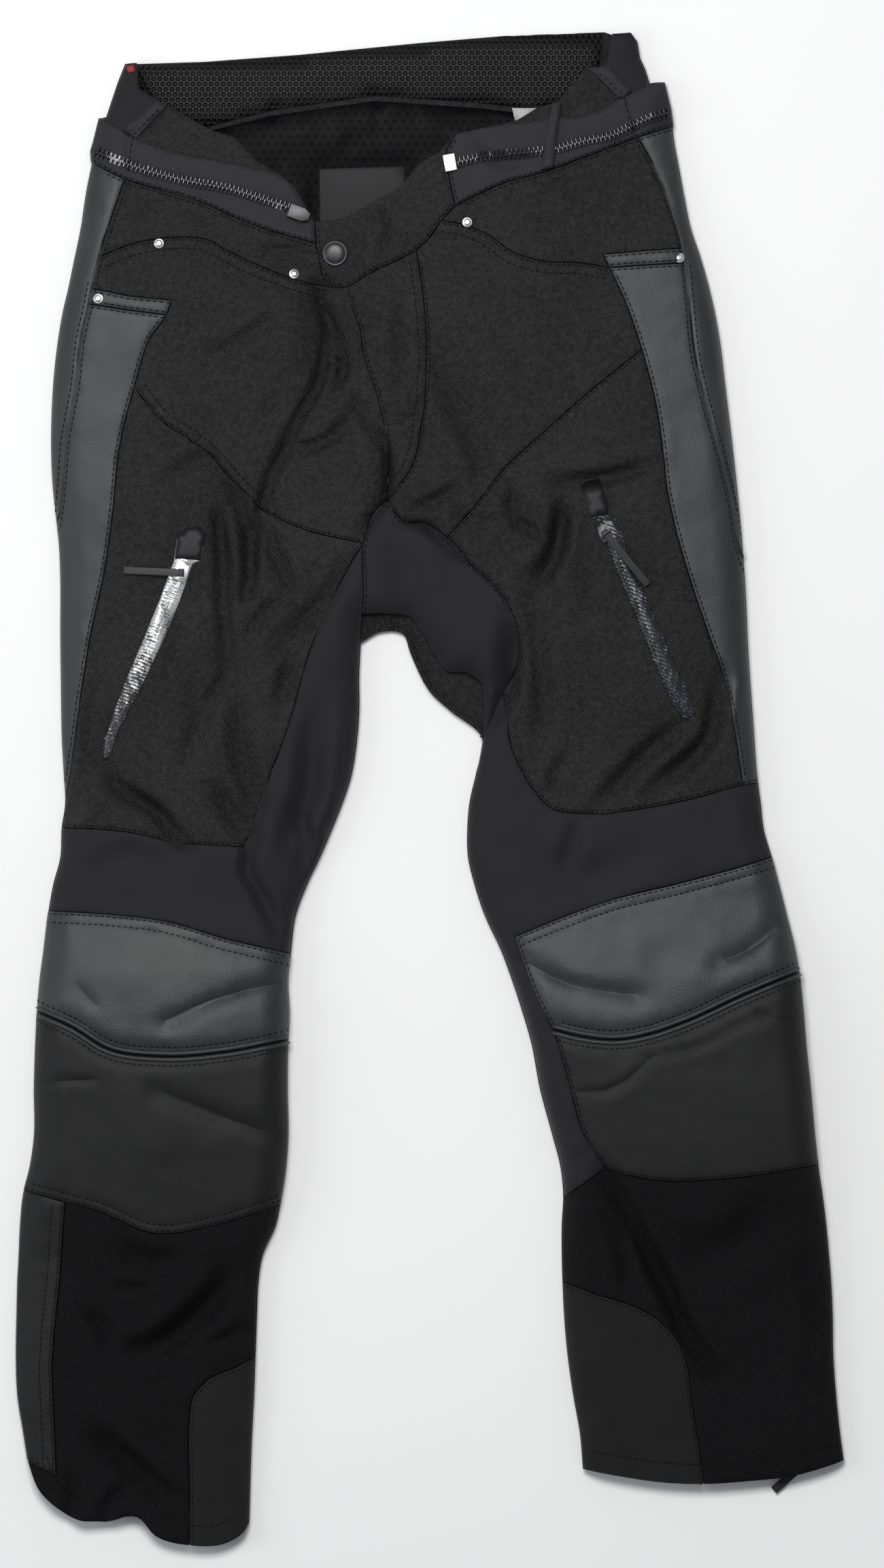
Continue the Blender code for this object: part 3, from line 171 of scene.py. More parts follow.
FRONT_MOUTH = [
    (-216, 513.5), (-208, 513.5), (-206.5, 496), (-194, 487.5), (-190, 485), (-185.5, 482.5),
    (-173, 475.5), (-154.5, 465.5), (-138.5, 460.5), (-124, 444.5), (-108, 435), (-95.5, 425),
    (-81.5, 400.5), (-60, 403), (-39.5, 415), (-20.5, 425), (-8, 441), (7.5, 450.5),
    (18.5, 462.5), (46, 468.5), (61, 472), (77, 482), (90, 485), (98.5, 495), (105, 503),
    (111.5, 509.5), (118, 510), (125, 511.5), (129.5, 534), (142.5, 535), (147, 529.5),
]
BACK_MOUTH = [
    (-216, 513.5), (-208, 513.5), (-160, 515), (-92.5, 520), (-6, 528.5), (54, 533.5), (124, 536),
    (129.5, 534), (142.5, 535), (147, 529.5),
]
print(len(SECTIONS), "sections,", len(FRONT_MOUTH), "points round the mouth of the front")

# %% [markdown]
# ### Seams
# A row names a seam, says whether it is drawn smooth, and where it runs.

# %% Seams
FRONT_SEAMS = [
    ("elastic_left", False, [(-190, 485), (-212, 462.5), (-215, 444.5), (-216, 431)]),
    ("zip_left_low", True, [(-244.5, 446.5), (-239.5, 443.5), (-216, 431), (-193, 424), (-160.5, 414),
        (-136, 403), (-112, 394), (-92.5, 388.5), (-80.5, 385)]),
    ("piping_left", True, [(-216, 431), (-223.5, 409), (-234.5, 375.5), (-239.5, 353.5), (-241.5, 342.5),
        (-247, 318.5), (-251, 283.5), (-258, 246), (-261, 211.5), (-264, 189.5), (-270, 175)]),
    ("band_left_top", False, [(-239.5, 353.5), (-213, 348), (-182.5, 345)]),
    ("band_left_low", False, [(-241.5, 342.5), (-213, 338), (-186.5, 334.5)]),
    ("leather_left", True, [(-182.5, 345), (-186.5, 334.5), (-197.5, 318.5), (-209, 283.5), (-219.5, 240.5),
        (-224, 197), (-229.5, 157), (-239.5, 110.5), (-248, 58.5), (-253, 24), (-257.5, -0.5),
        (-265, -17.5)]),
    ("pocket_left", True, [(-234.5, 375.5), (-213, 384), (-192, 388.5), (-174.5, 389.5), (-158, 388),
        (-142, 379.5), (-124, 371), (-101.5, 362), (-85.5, 357), (-71, 354)]),
    ("diagonal_left", True, [(-209, 283.5), (-190, 260), (-169.5, 246), (-153, 232.5), (-137.5, 214),
        (-116.5, 196), (-87.5, 182.5), (-47, 173)]),
    ("crotch_left", True, [(-31, 203.5), (-38, 196), (-44, 185), (-47, 173), (-47, 143.5),
        (-47.5, 122.5)]),
    ("stretch_left", True, [(-47, 173), (-54, 162), (-66.5, 139.5), (-77, 117.5), (-87, 91), (-95.5, 59.5),
        (-105, 30.5), (-115, 4), (-124.5, -20), (-131, -41.5)]),
    ("stretch_left_low", True, [(-271, -27.5), (-218, -30.5), (-177.5, -38.5), (-131, -41.5)]),
    ("knee_left_top", True, [(-277.5, -86.5), (-222.5, -89.5), (-186.5, -94), (-145.5, -106),
        (-98.5, -117.5), (-88.5, -120.5)]),
    ("knee_left_mid", True, [(-285.5, -154.5), (-251.5, -169.5), (-227.5, -184), (-189, -189.5),
        (-145.5, -186.5), (-93.5, -176.5)]),
    ("knee_left_low", True, [(-296, -282), (-258, -292.5), (-238.5, -297.5), (-192, -315), (-154, -309.5),
        (-98.5, -292)]),
    ("flap_left", False, [(-258, -292.5), (-262, -349.5), (-266, -386.5), (-267.5, -410.5), (-266, -449),
        (-264.5, -487)]),
    ("flap_left_low", False, [(-293, -471.5), (-275, -482), (-264.5, -487)]),
    ("guard_left", True, [(-115.5, -398), (-134.5, -409), (-157, -419), (-167.5, -431), (-170, -449),
        (-170, -492.5), (-170, -545.5)]),
    ("tab_left", False, [(-81.5, 400.5), (-80.5, 385), (-76, 362.5), (-71, 354), (-58, 354.5)]),
    ("band_right_low", True, [(-58, 354.5), (-39.5, 365.5), (-19, 375), (-9.5, 380.5), (-1, 388.5),
        (8.5, 401.5), (18, 412)]),
    ("fly_edge", True, [(-58, 354.5), (-55, 339), (-50, 327), (-47, 308), (-43, 293.5), (-38, 281),
        (-34.5, 267), (-31, 250), (-29, 226), (-31, 203.5)]),
    ("fly_stitch", True, [(-9.5, 380.5), (-5, 351), (-2, 308), (-5, 264.5), (-13.5, 226), (-31, 203.5)]),
    ("zip_right_end", False, [(18.5, 462.5), (12, 451.5), (12, 441.5), (15, 426), (18, 412)]),
    ("zip_right_low", True, [(18, 412), (54, 428.5), (78, 435), (114, 448), (147.5, 460.5), (172, 468.5),
        (178.5, 470)]),
    ("elastic_right", False, [(118, 510), (139, 490.5), (143.5, 474), (147.5, 460.5)]),
    ("piping_right", True, [(147.5, 460.5), (155.5, 446.5), (162, 433.5), (171.5, 409.5), (179.5, 382),
        (181, 371.5), (183.5, 346.5), (187.5, 307.5), (195, 274), (206, 235), (213.5, 204), (219, 173),
        (229.5, 141.5)]),
    ("band_right_top", False, [(122.5, 377.5), (151, 380), (179.5, 382)]),
    ("band_right_pocket", False, [(127, 368), (153.5, 370), (181, 371.5)]),
    ("leather_right", True, [(122.5, 377.5), (127, 368), (138.5, 343.5), (150, 310), (160.5, 268.5),
        (165.5, 232.5), (167.5, 213.5), (174.5, 181), (185, 145), (197.5, 108.5), (208, 78), (216, 41.5),
        (222, 2)]),
    ("pocket_right", True, [(8.5, 401.5), (26.5, 398), (42.5, 390.5), (59, 379), (81, 372.5), (105, 371.5),
        (127, 368)]),
    ("diagonal_right", True, [(150, 310), (117.5, 284), (81, 252), (52.5, 225.5), (28, 195),
        (11.5, 176.5)]),
    ("gusset_top", True, [(-31, 203.5), (-18.5, 189), (-3, 186.5), (11.5, 176.5), (31.5, 155.5),
        (45.5, 143.5), (56, 128.5), (61.5, 112.5), (62.5, 98), (59.5, 82), (52, 67), (43.5, 50),
        (33.5, 28)]),
    ("stretch_right", True, [(52, 67), (54.5, 47.5), (58, 28), (64.5, 13.5), (73.5, -1.5), (84.5, -13),
        (117.5, -18), (153.5, -14), (184, -8), (222, 2), (240, 5)]),
    ("knee_right_top", True, [(60, -105), (90.5, -92.5), (123.5, -80.5), (177.5, -67), (213.5, -57.5),
        (250.5, -46.5)]),
    ("knee_right_side", True, [(60, -105), (65.5, -122), (78, -153), (87, -170.5), (96.5, -201.5),
        (111, -249), (123.5, -269.5)]),
    ("knee_right_mid", True, [(87, -170.5), (105, -175), (134.5, -177.5), (156, -173.5), (178, -166),
        (221, -146.5), (273, -125)]),
    ("knee_right_low", True, [(123.5, -269.5), (159.5, -277), (214, -275.5), (282.5, -265)]),
    ("calf_right", False, [(123.5, -269.5), (107.5, -280.5), (87, -294)]),
    ("guard_right", True, [(86, -347), (118, -358.5), (149.5, -369), (170, -384.5), (181, -405.5),
        (185.5, -436.5), (190, -463.5), (194, -492.5), (195.5, -502)]),
]
BACK_SEAMS = [
    ("yoke", True, [(-261, 399.5), (-160, 411.5), (-34.5, 417.5), (81, 418.5), (194, 411.5)]),
    ("seat", True, [(-34.5, 417.5), (-31, 269), (-28, 148.5), (-27, 95.5)]),
    ("knee_left", True, [(-290, -193.5), (-189, -208), (-87.5, -188.5)]),
    ("knee_right", True, [(57, -203), (167.5, -213), (281, -179)]),
]
print(len(FRONT_SEAMS), "seams in front,", len(BACK_SEAMS), "behind")

# %% [markdown]
# ### Crowns and folds
# The crown is the height above the floor along the garment. A fold is a bell across a line:
# troughs have a negative height, and the width is the bell's spread.

# %% Crowns and folds
Crown = namedtuple("Crown", "y height")
Fold = namedtuple("Fold", "height width points")
CROWNS = [
    Crown(-550, 15), Crown(-478, 16), Crown(-396, 19), Crown(-333.5, 21), Crown(-294.5, 26),
    Crown(-251.5, 31), Crown(-213, 33.5), Crown(-174, 34.5), Crown(-131, 32), Crown(-102, 27),
    Crown(-78, 23), Crown(-20, 22), Crown(52.5, 23), Crown(148.5, 24), Crown(245, 24),
    Crown(341.5, 23), Crown(414, 21), Crown(471.5, 18), Crown(539, 15),
]
FOLDS = [
    Fold(-7.5, 9, [(-75, 346.5), (-75, 308), (-81.5, 275.5), (-96, 246.5), (-107, 214), (-116, 180.5)]),
    Fold(3.5, 12, [(-97.5, 341.5), (-96.5, 298), (-106, 264.5), (-120.5, 230.5)]),
    Fold(-4, 6, [(-70.5, 335), (-61, 308.5), (-62.5, 293.5)]),
    Fold(-3, 6, [(-95, 239), (-77, 244.5), (-64, 254.5), (-55, 261)]),
    Fold(-5, 7, [(-55, 293.5), (-50.5, 275.5), (-35, 251.5), (-30, 240.5), (-28.5, 221.5), (-33, 202.5),
        (-44, 186)]),
    Fold(-4.5, 8, [(-68.5, 353.5), (-63.5, 344)]),
    Fold(-3, 6, [(19, 211.5), (4, 204), (-10.5, 196)]),
    Fold(-3, 6, [(-17.5, 188), (2.5, 184)]),
    Fold(-4.5, 8, [(-148.5, 200), (-145.5, 154), (-144, 102), (-140, 79)]),
    Fold(-4, 7, [(-135, 201.5), (-125.5, 173), (-127, 144), (-136, 110)]),
    Fold(3, 9, [(-138.5, 173), (-137.5, 144), (-140, 115)]),
    Fold(-4, 8, [(-118, 182.5), (-102, 148), (-90.5, 125)]),
    Fold(-4, 9, [(-83.5, 122), (-97, 103), (-102, 58.5)]),
    Fold(-3, 9, [(-131.5, 81.5), (-132.5, 9.5), (-137, -16.5)]),
    Fold(-5.5, 7, [(-229.5, 38.5), (-231, 18), (-218, 3.5), (-192, -19.5), (-174.5, -38.5)]),
    Fold(3, 10, [(-201, 23.5), (-178.5, -3), (-160, -27)]),
    Fold(-4, 8, [(138.5, 221), (114.5, 217.5), (89, 214)]),
    Fold(-4.5, 8, [(92, 181), (83.5, 158.5), (76.5, 139.5)]),
    Fold(-3, 9, [(73, 114), (76, 81), (79, 49.5)]),
    Fold(-5, 9, [(200.5, 75), (195, 41.5), (177.5, 16), (156.5, -2.5)]),
    Fold(-4, 9, [(174.5, 52), (155.5, 26), (136, 2.5)]),
    Fold(3, 10, [(182, 42.5), (167.5, 23.5), (148.5, 4)]),
    Fold(-4.5, 8, [(62.5, 98), (59.5, 82), (52, 67), (43.5, 50)]),
    Fold(-3, 11, [(4, 332), (13.5, 288.5), (28, 245)]),
    Fold(-2.5, 9, [(-160.5, 411.5), (-136, 397), (-112, 382.5), (-92.5, 370.5)]),
    Fold(-3, 5, [(-278.5, -157.5), (-251.5, -169.5), (-227.5, -184), (-189, -189.5), (-145.5, -186.5),
        (-100.5, -178)]),
    Fold(-2.5, 5, [(-186.5, -166), (-138.5, -145.5), (-104.5, -137)]),
    Fold(-2.5, 5, [(-194, -214), (-160, -227.5), (-110, -244)]),
    Fold(-3, 5, [(87, -169.5), (134.5, -176.5), (178, -165.5), (221, -146), (262, -129.5)]),
    Fold(-2.5, 5, [(65.5, -122), (105, -142), (147, -147)]),
    Fold(-2.5, 5, [(250, -87.5), (234.5, -106), (203.5, -123.5)]),
    Fold(-3.5, 9, [(-145.5, -348), (-165, -376.5), (-184, -405.5)]),
    Fold(-3.5, 9, [(-232.5, -467.5), (-207.5, -495.5), (-174.5, -511.5)]),
    Fold(-4, 9, [(123.5, -280.5), (158, -333.5), (182, -386.5), (196.5, -415)]),
]
print(len(CROWNS), "crowns,", len(FOLDS), "folds, highest", max(c.height for c in CROWNS), "mm")

# %% [markdown]
# ### What is sewn on
# Zips, loops and straps lie on the front; the facing, the lining and the label lie on the back,
# inside the waist.

# %% What is sewn on
TAPE_LEFT_TOP = [
    (-243, 477.5), (-234, 474.5), (-217.5, 465.5), (-212, 462.5), (-207.5, 459.5), (-185.5, 451),
    (-160, 445.5), (-136, 441), (-108, 435), (-95.5, 425), (-81.5, 400.5),
]
TAPE_LEFT_LOW = [
    (-244.5, 446.5), (-239.5, 443.5), (-216, 431), (-193, 424), (-160.5, 414), (-136, 403),
    (-112, 394), (-92.5, 388.5), (-80.5, 385),
]
CHAIN_LEFT = [
    (-236, 450.5), (-222, 444.5), (-206.5, 438.5), (-173, 429.5), (-142, 423.5), (-117.5, 416),
    (-98.5, 410),
]
TAPE_RIGHT_TOP = [
    (18.5, 462.5), (46, 468.5), (69, 471), (89, 474.5), (102, 474), (121.5, 480), (139, 490.5),
    (156, 499), (166, 499.5), (172.5, 501.5),
]
TAPE_RIGHT_LOW = [
    (18, 412), (54, 428.5), (78, 435), (114, 448), (147.5, 460.5), (172, 468.5), (178.5, 470),
]
TAPE_RIGHT_END = [(12, 451.5), (12, 441.5), (15, 426)]
CHAIN_RIGHT = [
    (20, 442.5), (42, 447), (73.5, 450), (87.5, 451.5), (109.5, 457.5), (132, 462.5),
    (150, 471.5), (167, 477.5),
]
LOOP_LEFT = [(-194, 487.5), (-185.5, 482.5), (-207, 459), (-217.5, 465.5)]
LOOP_RIGHT = [(111.5, 509.5), (125, 511.5), (143, 493), (134.5, 487)]
KEEPER_RIGHT = [(86.5, 484), (93, 485.5), (90, 459.5), (87, 437), (79, 437), (81.5, 459.5)]
THIGH_ZIP_LEFT = [
    (-181, 161), (-178.5, 177.5), (-171.5, 184.5), (-162, 184.5), (-158.5, 178.5),
    (-161.5, 160.5), (-167.5, 158.5), (-176.5, 132), (-189, 103), (-202.5, 74), (-214, 52.5),
    (-223.5, 33), (-227.5, 19.5), (-232, 20), (-230.5, 35.5), (-222.5, 57), (-215, 76.5),
    (-202.5, 105.5), (-191, 134),
]
THIGH_ZIP_RIGHT = [
    (107.5, 213.5), (110.5, 216.5), (120, 218), (126, 201), (126, 193), (132.5, 190),
    (141, 165.5), (153.5, 134), (170, 95.5), (183, 67), (188.5, 52.5), (181, 47.5), (172.5, 57),
    (160.5, 83.5), (146, 122), (131.5, 156), (119.5, 188.5), (113, 191),
]
FACING_OUTLINE = [
    (-207, 512), (-160, 514), (-92.5, 519), (-6, 527.5), (54, 532.5), (122.5, 535.5),
    (119.5, 505.5), (105, 486), (81, 480.5), (33, 486), (-39.5, 491), (-112, 480.5),
    (-160, 468.5), (-191.5, 478.5), (-205, 491),
]
LINING_OUTLINE = [
    (-184, 466), (-160, 465.5), (-112, 477), (-39.5, 487.5), (33, 482.5), (81, 477), (100.5, 467),
    (81, 438), (33, 414), (-6, 385), (-54, 370.5), (-97.5, 380), (-131, 409), (-165, 438),
]
LABEL_OUTLINE = [(-78.5, 439), (-18, 441), (-15.5, 399.5), (-78, 392)]
print(len(THIGH_ZIP_LEFT), "and", len(THIGH_ZIP_RIGHT), "points round the thigh zips")

# %% [markdown]
# ### Panels
# A panel is named by a point inside it, its seed; its wall lies `lift` above the shared surface.

# %% Panels
Panel = namedtuple("Panel", "name seed wall lift slot")
FRONT_PANELS = [
    Panel("elastic_left", (-218, 486), STRETCH, 0, "stretch"),
    Panel("waistband_left", (-160, 455), WAISTBAND, 0, "textile"),
    Panel("yoke_left", (-179.5, 399.5), TEXTILE, 0, "textile"),
    Panel("side_strip_left", (-244.5, 399.5), LEATHER, 0, "leather"),
    Panel("pocket_band_left", (-213, 343), LEATHER, 0.4, "leather"),
    Panel("side_leather_left", (-237, 269), LEATHER, 0, "leather"),
    Panel("hip_left", (-136, 317.5), TEXTILE, 0, "textile"),
    Panel("thigh_left", (-184, 76.5), TEXTILE, 0, "textile"),
    Panel("gusset", (-15.5, 148.5), STRETCH, 0, "stretch"),
    Panel("stretch_left", (-160, -68), STRETCH, 0, "stretch"),
    Panel("knee_upper_left", (-189, -140.5), LEATHER, 0.6, "leather"),
    Panel("knee_lower_left", (-189, -261), LEATHER, 0.6, "leather"),
    Panel("shin_left", (-194, -381.5), TEXTILE, 0, "textile"),
    Panel("zip_flap_left", (-278, -381.5), LEATHER, 0.4, "leather"),
    Panel("ankle_guard_left", (-150.5, -478), LEATHER, 0.2, "suede"),
    Panel("waistband_right", (-25, 394.5), WAISTBAND, 0.8, "textile"),
    Panel("fly", (-20, 317.5), TEXTILE, 0.6, "textile"),
    Panel("hip_right", (61.5, 317.5), TEXTILE, 0, "textile"),
    Panel("yoke_right", (81, 404), TEXTILE, 0, "textile"),
    Panel("waistband_side_right", (61.5, 447.5), WAISTBAND, 0, "textile"),
    Panel("elastic_right", (143.5, 510), STRETCH, 0, "stretch"),
    Panel("side_strip_right", (176, 414), LEATHER, 0, "leather"),
    Panel("pocket_band_right", (153.5, 375), LEATHER, 0.4, "leather"),
    Panel("side_leather_right", (182, 269), LEATHER, 0, "leather"),
    Panel("thigh_right", (105, 100.5), TEXTILE, 0, "textile"),
    Panel("stretch_right", (129, -44), STRETCH, 0, "stretch"),
    Panel("knee_upper_right", (153.5, -116.5), LEATHER, 0.6, "leather"),
    Panel("knee_lower_right", (177.5, -222.5), LEATHER, 0.6, "leather"),
    Panel("shin_right", (177.5, -333.5), TEXTILE, 0, "textile"),
    Panel("ankle_guard_right", (143.5, -429.5), LEATHER, 0.2, "suede"),
]
BACK_PANELS = [
    Panel("back_waist", (-34.5, 462), TEXTILE, 0, "textile"),
    Panel("back_seat_left", (-160, 221), TEXTILE, 0, "textile"),
    Panel("back_seat_right", (105, 221), TEXTILE, 0, "textile"),
    Panel("back_calf_left", (-208, -357.5), TEXTILE, 0, "textile"),
    Panel("back_calf_right", (177.5, -357.5), TEXTILE, 0, "textile"),
]
print(len(FRONT_PANELS), "panels in front,", len(BACK_PANELS), "behind")

# %% [markdown]
# ## Lines over the plan
# A seam is sampled along a smooth curve through its table points. `MOVED` is the small step from
# the tables' middle to the middle of the garment's box.

# %% Lines
FINE_STEP = 3.0
MOVED = np.array([0.1704, 0.0197])


def line_through(points, smooth=True, step=FINE_STEP):
    """Sample a line through plan points; the points themselves are always kept."""
    given = np.array(points, float)
    spans = np.hypot(*np.diff(given, axis=0).T)
    slopes = np.diff(given, axis=0) / spans[:, None]
    before, after = spans[:-1, None], spans[1:, None]
    middle = (slopes[1:] * before + slopes[:-1] * after) / (before + after)
    tangents = np.vstack([slopes[:1], middle, slopes[-1:]])
    sampled = []
    for i, span in enumerate(spans):
        pieces = max(1, round(span / step))
        for t in np.arange(pieces) / pieces:
            lean = (1 - t) * (tangents[i] - slopes[i]) - t * (tangents[i + 1] - slopes[i])
            bend = span * t * (1 - t) * lean if smooth else 0
            sampled.append(given[i] + t * (given[i + 1] - given[i]) + bend)
    sampled.append(given[-1])
    return np.array(sampled)


def beside(line, distance):
    """The line moved sideways, to its left for a positive distance."""
    run = np.gradient(line, axis=0)
    run /= np.hypot(*run.T)[:, None]
    return line + distance * np.column_stack([-run[:, 1], run[:, 0]])


def inside(outline, points):
    """True for each plan point within a closed outline."""
    result = np.zeros(len(points), bool)
    for (ax, ay), (bx, by) in zip(outline, np.roll(outline, -1, axis=0)):
        if ay == by:
            continue
        crosses = (ay > points[:, 1]) != (by > points[:, 1])
        result ^= crosses & (points[:, 0] < ax + (points[:, 1] - ay) * (bx - ax) / (by - ay))
    return result


print("a line point every", FINE_STEP, "mm")

# %% [markdown]
# ### Distances
# `Near` answers how far plan points lie from a set of lines, which shapes the rolled sides and
# the seams. `along_line` also tells the side of the line and the place along it, for creases.

# %% Distances
class Near:
    """Distance from plan points to the nearest of several lines."""

    def __init__(self, lines, spacing=0.6):
        samples = np.vstack([line_through(line, smooth=False, step=spacing) for line in lines])
        self.tree = KDTree(len(samples))
        for i, (x, y) in enumerate(samples):
            self.tree.insert((x, y, 0), i)
        self.tree.balance()

    def __call__(self, points):
        return np.array([self.tree.find((x, y, 0))[2] for x, y in points])


def along_line(line, points):
    """Signed sideways distance of points from one line, and how far along it they lie, 0 to 1."""
    best = np.full(len(points), np.inf)
    side, share = np.zeros(len(points)), np.zeros(len(points))
    runs = np.diff(line, axis=0)
    starts = np.concatenate([[0], np.cumsum(np.hypot(*runs.T))])
    for start, run, at in zip(line[:-1], runs, starts):
        length = max(np.hypot(*run), 1e-9)
        along = np.clip((points - start) @ run / length ** 2, 0, 1)
        gap = points - start - along[:, None] * run
        distance = np.hypot(*gap.T)
        closer = distance < best
        best[closer] = distance[closer]
        turn = run[0] * gap[:, 1] - run[1] * gap[:, 0]
        side[closer] = (np.sign(turn) * distance)[closer]
        share[closer] = ((at + along * length) / starts[-1])[closer]
    return side, share


print("10 mm beside a line:", Near([[(0, 0), (50, 0)]])(np.array([(25.0, 10.0)])))

# %% [markdown]
# ### Sides of the garment
# The outer sides run from hem to waist. The inner sides run round the crotch, higher in front
# than behind, so that a strip of the back shows between the legs.

# %% Sides
def column(name):
    """One edge of the legs from the section table, from the hem up."""
    return [(getattr(section, name), section.y) for section in SECTIONS]


def outer_side(column_name, hem_point, top, corner):
    """An outer side from the hem to the waist."""
    leg = line_through([hem_point, *column(column_name), *top[1:]])
    return np.vstack([leg, line_through(corner, smooth=False)[1:]])


OUTER_LEFT = outer_side("outer_left", HEM_LEFT[0], OUTER_LEFT_TOP, WAIST_CORNER_LEFT)
OUTER_RIGHT = outer_side("outer_right", HEM_RIGHT[-1], OUTER_RIGHT_TOP, WAIST_CORNER_RIGHT)
INNER_LEFT = line_through([HEM_LEFT[-1], *column("inner_left"), *INNER_LEFT_TOP[1:]])
INNER_LEFT_BEHIND = line_through([HEM_LEFT[-1], *column("inner_left"), *INNER_LEFT_TOP[1:-1]])
INNER_RIGHT = line_through([HEM_RIGHT[0], *column("inner_right")])[::-1]
GUSSET = line_through(GUSSET_EDGE)
CROTCH = line_through(CROTCH_BEHIND)
HEMS = [line_through(hem) for hem in (HEM_LEFT, HEM_RIGHT)]
FRONT_SIDES = [OUTER_LEFT[::-1], np.vstack([INNER_LEFT, GUSSET[1:], INNER_RIGHT[1:]]), OUTER_RIGHT]
INNER_BEHIND = np.vstack([INNER_LEFT_BEHIND, CROTCH[1:], INNER_RIGHT[1:]])
BACK_SIDES = [OUTER_LEFT[::-1], INNER_BEHIND, OUTER_RIGHT]


def closed_outline(sides, mouth):
    """Down the left side, round both legs, up the right side and back along the waist."""
    waist = line_through(mouth, smooth=False)[::-1]
    parts = [sides[0], HEMS[0], sides[1], HEMS[1], sides[2], waist]
    return np.vstack([part[:-1] for part in parts])


print(len(closed_outline(FRONT_SIDES, FRONT_MOUTH)), "points round the front")

# %% [markdown]
# ### Seam lines, darts and pressed rows
# Darts shape the knees, and rows of stitches press a groove beside a seam.

# %% Seam lines and grooves
SEAM_LINES = {name: line_through(points, smooth) for name, smooth, points in FRONT_SEAMS}
DARTS = [
    [(-248.7, -139), (-237.6, -152.5)],
    [(-185.6, -163.2), (-164, -153), (-140, -145.5), (-108.4, -138.1)],
    [(-280.5, -208.5), (-258, -207), (-237.6, -205.6)],
    [(-186.5, -214.7), (-149.4, -229.7), (-114.2, -244.6)],
    [(70.9, -124.1), (97.8, -139.1), (122, -143.9), (144.1, -146.3)],
    [(245.3, -100), (230.4, -112.1), (209.2, -121.2)],
    [(102.7, -214.7), (127.7, -211.4), (146, -199.3), (156.2, -190.6)],
    [(230.4, -157.4), (245.3, -163.2), (260.3, -165.1)],
]
PRESSED_ROWS = [("knee_left_top", -8.0), ("knee_right_top", -7.5), ("knee_left_mid", 6.5),
                ("knee_left_mid", -6.5), ("knee_right_mid", 6.5), ("knee_right_mid", -6.5),
                ("knee_left_low", 6.0), ("pocket_left", -8.0), ("pocket_right", -8.0),
                ("flap_left", -9.0)]
GROOVES = [line_through(points) for points in DARTS]
GROOVES += [beside(SEAM_LINES[name], away)[2:-2] for name, away in PRESSED_ROWS]
print(len(SEAM_LINES), "seams,", sum(map(len, SEAM_LINES.values())), "seam points")

# %% [markdown]
# ## The fine surface
# The plan is cut into small triangles along every seam, with a few rings of points beside each
# seam and side so that rolled edges stay round.

# %% The map of triangles
SEAM_RINGS = (0.8, 1.9, 3.6)
SIDE_RINGS = (0.5, 1.4, 2.8, 4.8, 7.4, 10.5)


class PlanMap:
    """Triangles over the plan, cut along every seam and along the outline of every overlay."""

    def __init__(self, outline, sides, seams, marks, grid, grooves=()):
        self.points, self.edges, self.blocking = [], [], set()
        self.outline, self.sides = outline, sides
        self.index_of, self.cells = {}, {}
        self.add_line(np.vstack([outline, outline[:1]]), blocks=True)
        for seam in seams:
            self.add_line(seam, blocks=True)
        for mark in marks:
            self.add_line(np.vstack([mark, mark[:1]]), blocks=False)
        for groove in grooves:
            self.add_line(groove, blocks=False)
        self.rings([*seams, *grooves], SEAM_RINGS)
        self.rings(sides, SIDE_RINGS)
        low, high = outline.min(axis=0), outline.max(axis=0)
        rows = np.arange(low[1], high[1], grid * math.sqrt(0.75))
        lattice = [(x + grid / 2 * (k % 2), y)
                   for k, y in enumerate(rows) for x in np.arange(low[0], high[0], grid)]
        self.keep(np.array(lattice), 0.62 * grid)
        self.triangulate()

    def add_point(self, point):
        key = (round(float(point[0]), 3), round(float(point[1]), 3))
        if key not in self.index_of:
            self.index_of[key] = len(self.points)
            self.points.append(key)
            self.cells.setdefault((int(key[0] // 4), int(key[1] // 4)), []).append(key)
        return self.index_of[key]

    def add_line(self, line, blocks):
        ids = [self.add_point(point) for point in line]
        for a, b in zip(ids[:-1], ids[1:]):
            if a != b:
                if blocks:
                    self.blocking.add(len(self.edges))
                self.edges.append((a, b))

    def keep(self, candidates, room):
        """Add the candidate points that lie inside, clear of the points so far."""
        for x, y in candidates[inside(self.outline, candidates)]:
            i, j = int(x // 4), int(y // 4)
            near = (p for a in (i - 1, i, i + 1) for b in (j - 1, j, j + 1)
                    for p in self.cells.get((a, b), ()))
            if all((p[0] - x) ** 2 + (p[1] - y) ** 2 >= room * room for p in near):
                self.add_point((x, y))

    def rings(self, lines, depths):
        """Rings of points at several depths beside the lines."""
        near = Near(lines)
        for depth in depths:
            ring = np.vstack([beside(line, sign * depth) for line in lines for sign in (1, -1)])
            self.keep(ring[near(ring) > 0.93 * depth], min(0.62 * depth + 0.2, 2.0))

    def triangulate(self):
        result = delaunay_2d_cdt([Vector(p) for p in self.points], self.edges, [], 0, 1e-4, True)
        self.plan = np.array([tuple(v) for v in result[0]])
        self.blocked = {(min(e), max(e)) for e, origins in zip(result[1], result[4])
                        if any(o in self.blocking for o in origins)}
        faces = np.array([tuple(face) for face in result[2]])
        a, b, c = (self.plan[faces[:, k]] for k in range(3))
        area = (b[:, 0] - a[:, 0]) * (c[:, 1] - a[:, 1]) - (b[:, 1] - a[:, 1]) * (c[:, 0] - a[:, 0])
        faces[area < 0] = faces[area < 0][:, ::-1]
        centres = self.plan[faces].mean(axis=1)
        good = inside(self.outline, centres) & (np.abs(area) > 1e-6)
        self.faces, self.centres = faces[good], centres[good]
        self.by_edge = {}
        for i, (p, q, r) in enumerate(self.faces.tolist()):
            for s, t in ((p, q), (q, r), (r, p)):
                self.by_edge.setdefault((min(s, t), max(s, t)), []).append(i)


print("rings beside seams", SEAM_RINGS, "and beside sides", SIDE_RINGS, "mm")

# %% [markdown]
# ### Heights, panels and walls
# A panel is the set of triangles that its seed reaches without crossing a seam. Its wall comes
# from moving the points along the surface's normal, and its rim keeps clear of its neighbours.

